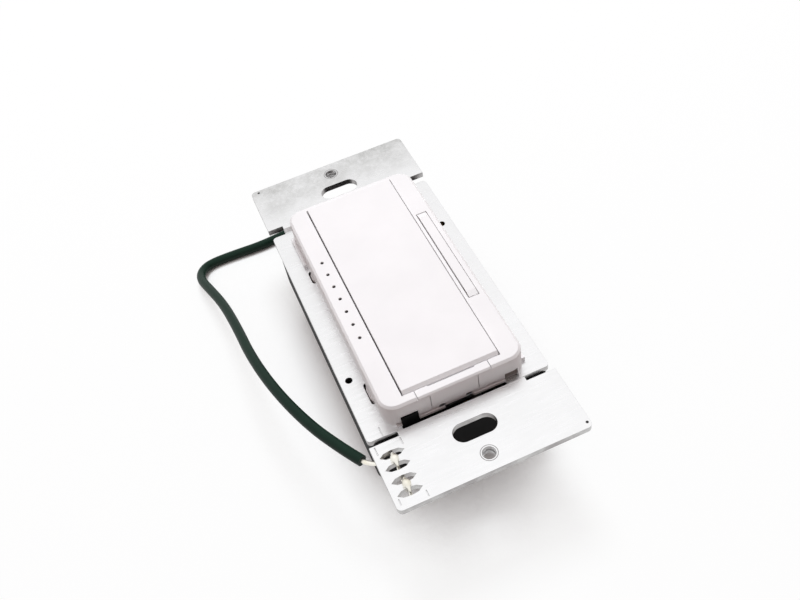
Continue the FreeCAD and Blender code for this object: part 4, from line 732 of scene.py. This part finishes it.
PLATE_THREAD = (1.7, 1.52, 1.3, 0.79)  # length, root, crest and pitch, mm
PLATE_THREAD_FOOT = 23.4
for name, side in (("top_plate_hole_thread", 1), ("low_plate_hole_thread", -1)):
    foot = (0, PLATE_HOLE_Y * side, PLATE_THREAD_FOOT)
    thread(name, foot, "Z", *PLATE_THREAD, sheet_aluminium, "yoke_aluminium")

TERMINAL_THREAD = (0.6, 1.4, 1.7, 0.5)
TERMINAL_PITCH = 8.5
TERMINAL_Y, TERMINAL_Z = -22.15, 4.2
for number in (1, 2, 3):
    foot = (TERMINAL_PITCH * (number - 2), TERMINAL_Y, TERMINAL_Z)
    thread(f"terminal_thread_{number}", foot, "Y", *TERMINAL_THREAD, bright_brass, "terminal_brass")
print("threads: 5")

# %% [markdown]
# ## The table
#
# The photograph's background is plain white. A floor that is only white would render grey where less
# light falls, so for the camera, and for what metal and glass mirror, most of its brightness is its own.
# Close below the switch that would be wrong: a slot would glow where it should look dark. An ambient
# occlusion node finds the sheltered places, and takes the floor's own brightness away there. The rest is
# an ordinary white surface, which keeps a soft shadow. For the light that it throws back at the switch
# the floor is a warm grey, so that the walls near it stay a little darker and warmer than the front.

# %% Floor
FLOOR_REACH = 3.0
OWN_BRIGHTNESS = 0.88
SHELTER_REACH = 40 * MM
SHELTERED, OPEN = 0.35, 0.7  # how much of the sky a place sees

floor_data = bpy.data.meshes.new("table")
floor_corners = [(x * FLOOR_REACH, y * FLOOR_REACH, 0) for x, y in ((-1, -1), (1, -1), (1, 1), (-1, 1))]
floor_data.from_pydata(floor_corners, [], [(0, 1, 2, 3)])
table = bpy.data.objects.new("table", floor_data)
bpy.context.scene.collection.objects.link(table)


def seen_directly(tree):
    """1 for the camera's rays and for mirrored or refracted ones, 0 for light that spreads."""
    ray = add(tree, "ShaderNodeLightPath")
    either = add(tree, "ShaderNodeMath", {
        0: ray.outputs["Is Camera Ray"], 1: ray.outputs["Is Glossy Ray"],
    }, operation="MAXIMUM")
    return add(tree, "ShaderNodeMath", {
        0: either.outputs[0], 1: ray.outputs["Is Transmission Ray"],
    }, operation="MAXIMUM").outputs[0]


# Matt white paint on a board, brushed and dry: no gloss, no grain.
table_paint, tree, shader = new_material("table_paint")
seen = seen_directly(tree)
paint = add(tree, "ShaderNodeMix", {
    "Factor": seen, 6: linear("#BFB2AE"), 7: linear("#F7F7F7"),
}, data_type="RGBA")
tree.links.new(paint.outputs[2], shader.inputs["Base Color"])
shader.inputs["Roughness"].default_value = 0.9
glow = add(tree, "ShaderNodeEmission", {"Color": linear("#FFFFFF"), "Strength": 1.0})
shelter = add(tree, "ShaderNodeAmbientOcclusion", {"Distance": SHELTER_REACH}, samples=8)
open_sky = add(tree, "ShaderNodeMapRange", {
    "Value": shelter.outputs["AO"], "From Min": SHELTERED, "From Max": OPEN,
    "To Min": 0.0, "To Max": OWN_BRIGHTNESS,
})
share = add(tree, "ShaderNodeMath", {0: seen, 1: open_sky.outputs["Result"]}, operation="MULTIPLY")
mixed = add(tree, "ShaderNodeMixShader", {
    0: share.outputs[0], 1: shader.outputs["BSDF"], 2: glow.outputs["Emission"],
})
tree.links.new(mixed.outputs[0], tree.nodes["Material Output"].inputs["Surface"])
floor_data.materials.append(table_paint)
print("table reaches, m:", FLOOR_REACH)

# %% [markdown]
# ## The room
#
# What the metal mirrors gives it its tone. Straight above the switch the mirrored room is a little
# brighter than white, because metal throws back only a part of what it mirrors. Towards the wall behind
# it turns greyer, so that the far flange looks greyer than the near one. The light that the room spreads
# is another matter: it is dim, a little warm, and strongest from the side of the lamp, so that the walls
# that face the camera stay darker than the front. The kind of ray, as for the table, tells the two apart.

# %% World
BRIGHT_SIDE = (0.2, 0.5, 0.84)  # the room is brightest above the switch's top end
world = bpy.data.worlds.new("studio")
bpy.context.scene.world = world
world.use_nodes = True
tree = world.node_tree
tree.nodes.clear()
outward = add(tree, "ShaderNodeTexCoord").outputs["Generated"]
direction = add(tree, "ShaderNodeSeparateXYZ", {"Vector": outward})
height = add(tree, "ShaderNodeMapRange", {
    "Value": direction.outputs["Z"], "From Min": 0.62, "From Max": 0.85, "To Min": 0.98, "To Max": 1.14,
})
mirrored = add(tree, "ShaderNodeBackground", {
    "Color": linear("#FFFFFF"), "Strength": height.outputs["Result"],
})
towards = add(tree, "ShaderNodeVectorMath", {0: outward, 1: BRIGHT_SIDE}, operation="DOT_PRODUCT")
room = add(tree, "ShaderNodeMapRange", {
    "Value": towards.outputs["Value"], "From Min": -1.0, "From Max": 1.0,
    "To Min": 0.04, "To Max": 0.46,
})
spread = add(tree, "ShaderNodeBackground", {
    "Color": linear("#FFEBE6"), "Strength": room.outputs["Result"],
})
both = add(tree, "ShaderNodeMixShader", {
    0: seen_directly(tree), 1: spread.outputs[0], 2: mirrored.outputs[0],
})
add(tree, "ShaderNodeOutputWorld", {"Surface": both.outputs[0]})
print("room made, nodes:", len(tree.nodes))

# %% [markdown]
# ## The lamp
#
# One large soft lamp stands above the switch's top end. Its height sets the short shadow that the frame
# throws on the lower flange. It is hidden from mirrored rays: its image would be far brighter than white
# and would cover the tone that the room gives the metal.

# %% Lamp
LAMP_PLACE = Vector((0.12, 0.40, 0.93))
LAMP_TARGET = Vector((0, 0, 0.02))

lamp_data = bpy.data.lights.new("top_lamp", "AREA")
lamp_data.size = 0.32
lamp_data.energy = 8.3
lamp_data.color = (0.91, 0.97, 1.0)  # slightly cool, against the warm light from the table
lamp = bpy.data.objects.new("top_lamp", lamp_data)
bpy.context.scene.collection.objects.link(lamp)
lamp.location = LAMP_PLACE
lamp.rotation_euler = (LAMP_TARGET - LAMP_PLACE).to_track_quat("-Z", "Y").to_euler()
lamp.visible_glossy = False
print("lamp's height above the table, m:", round(LAMP_PLACE.z, 2))
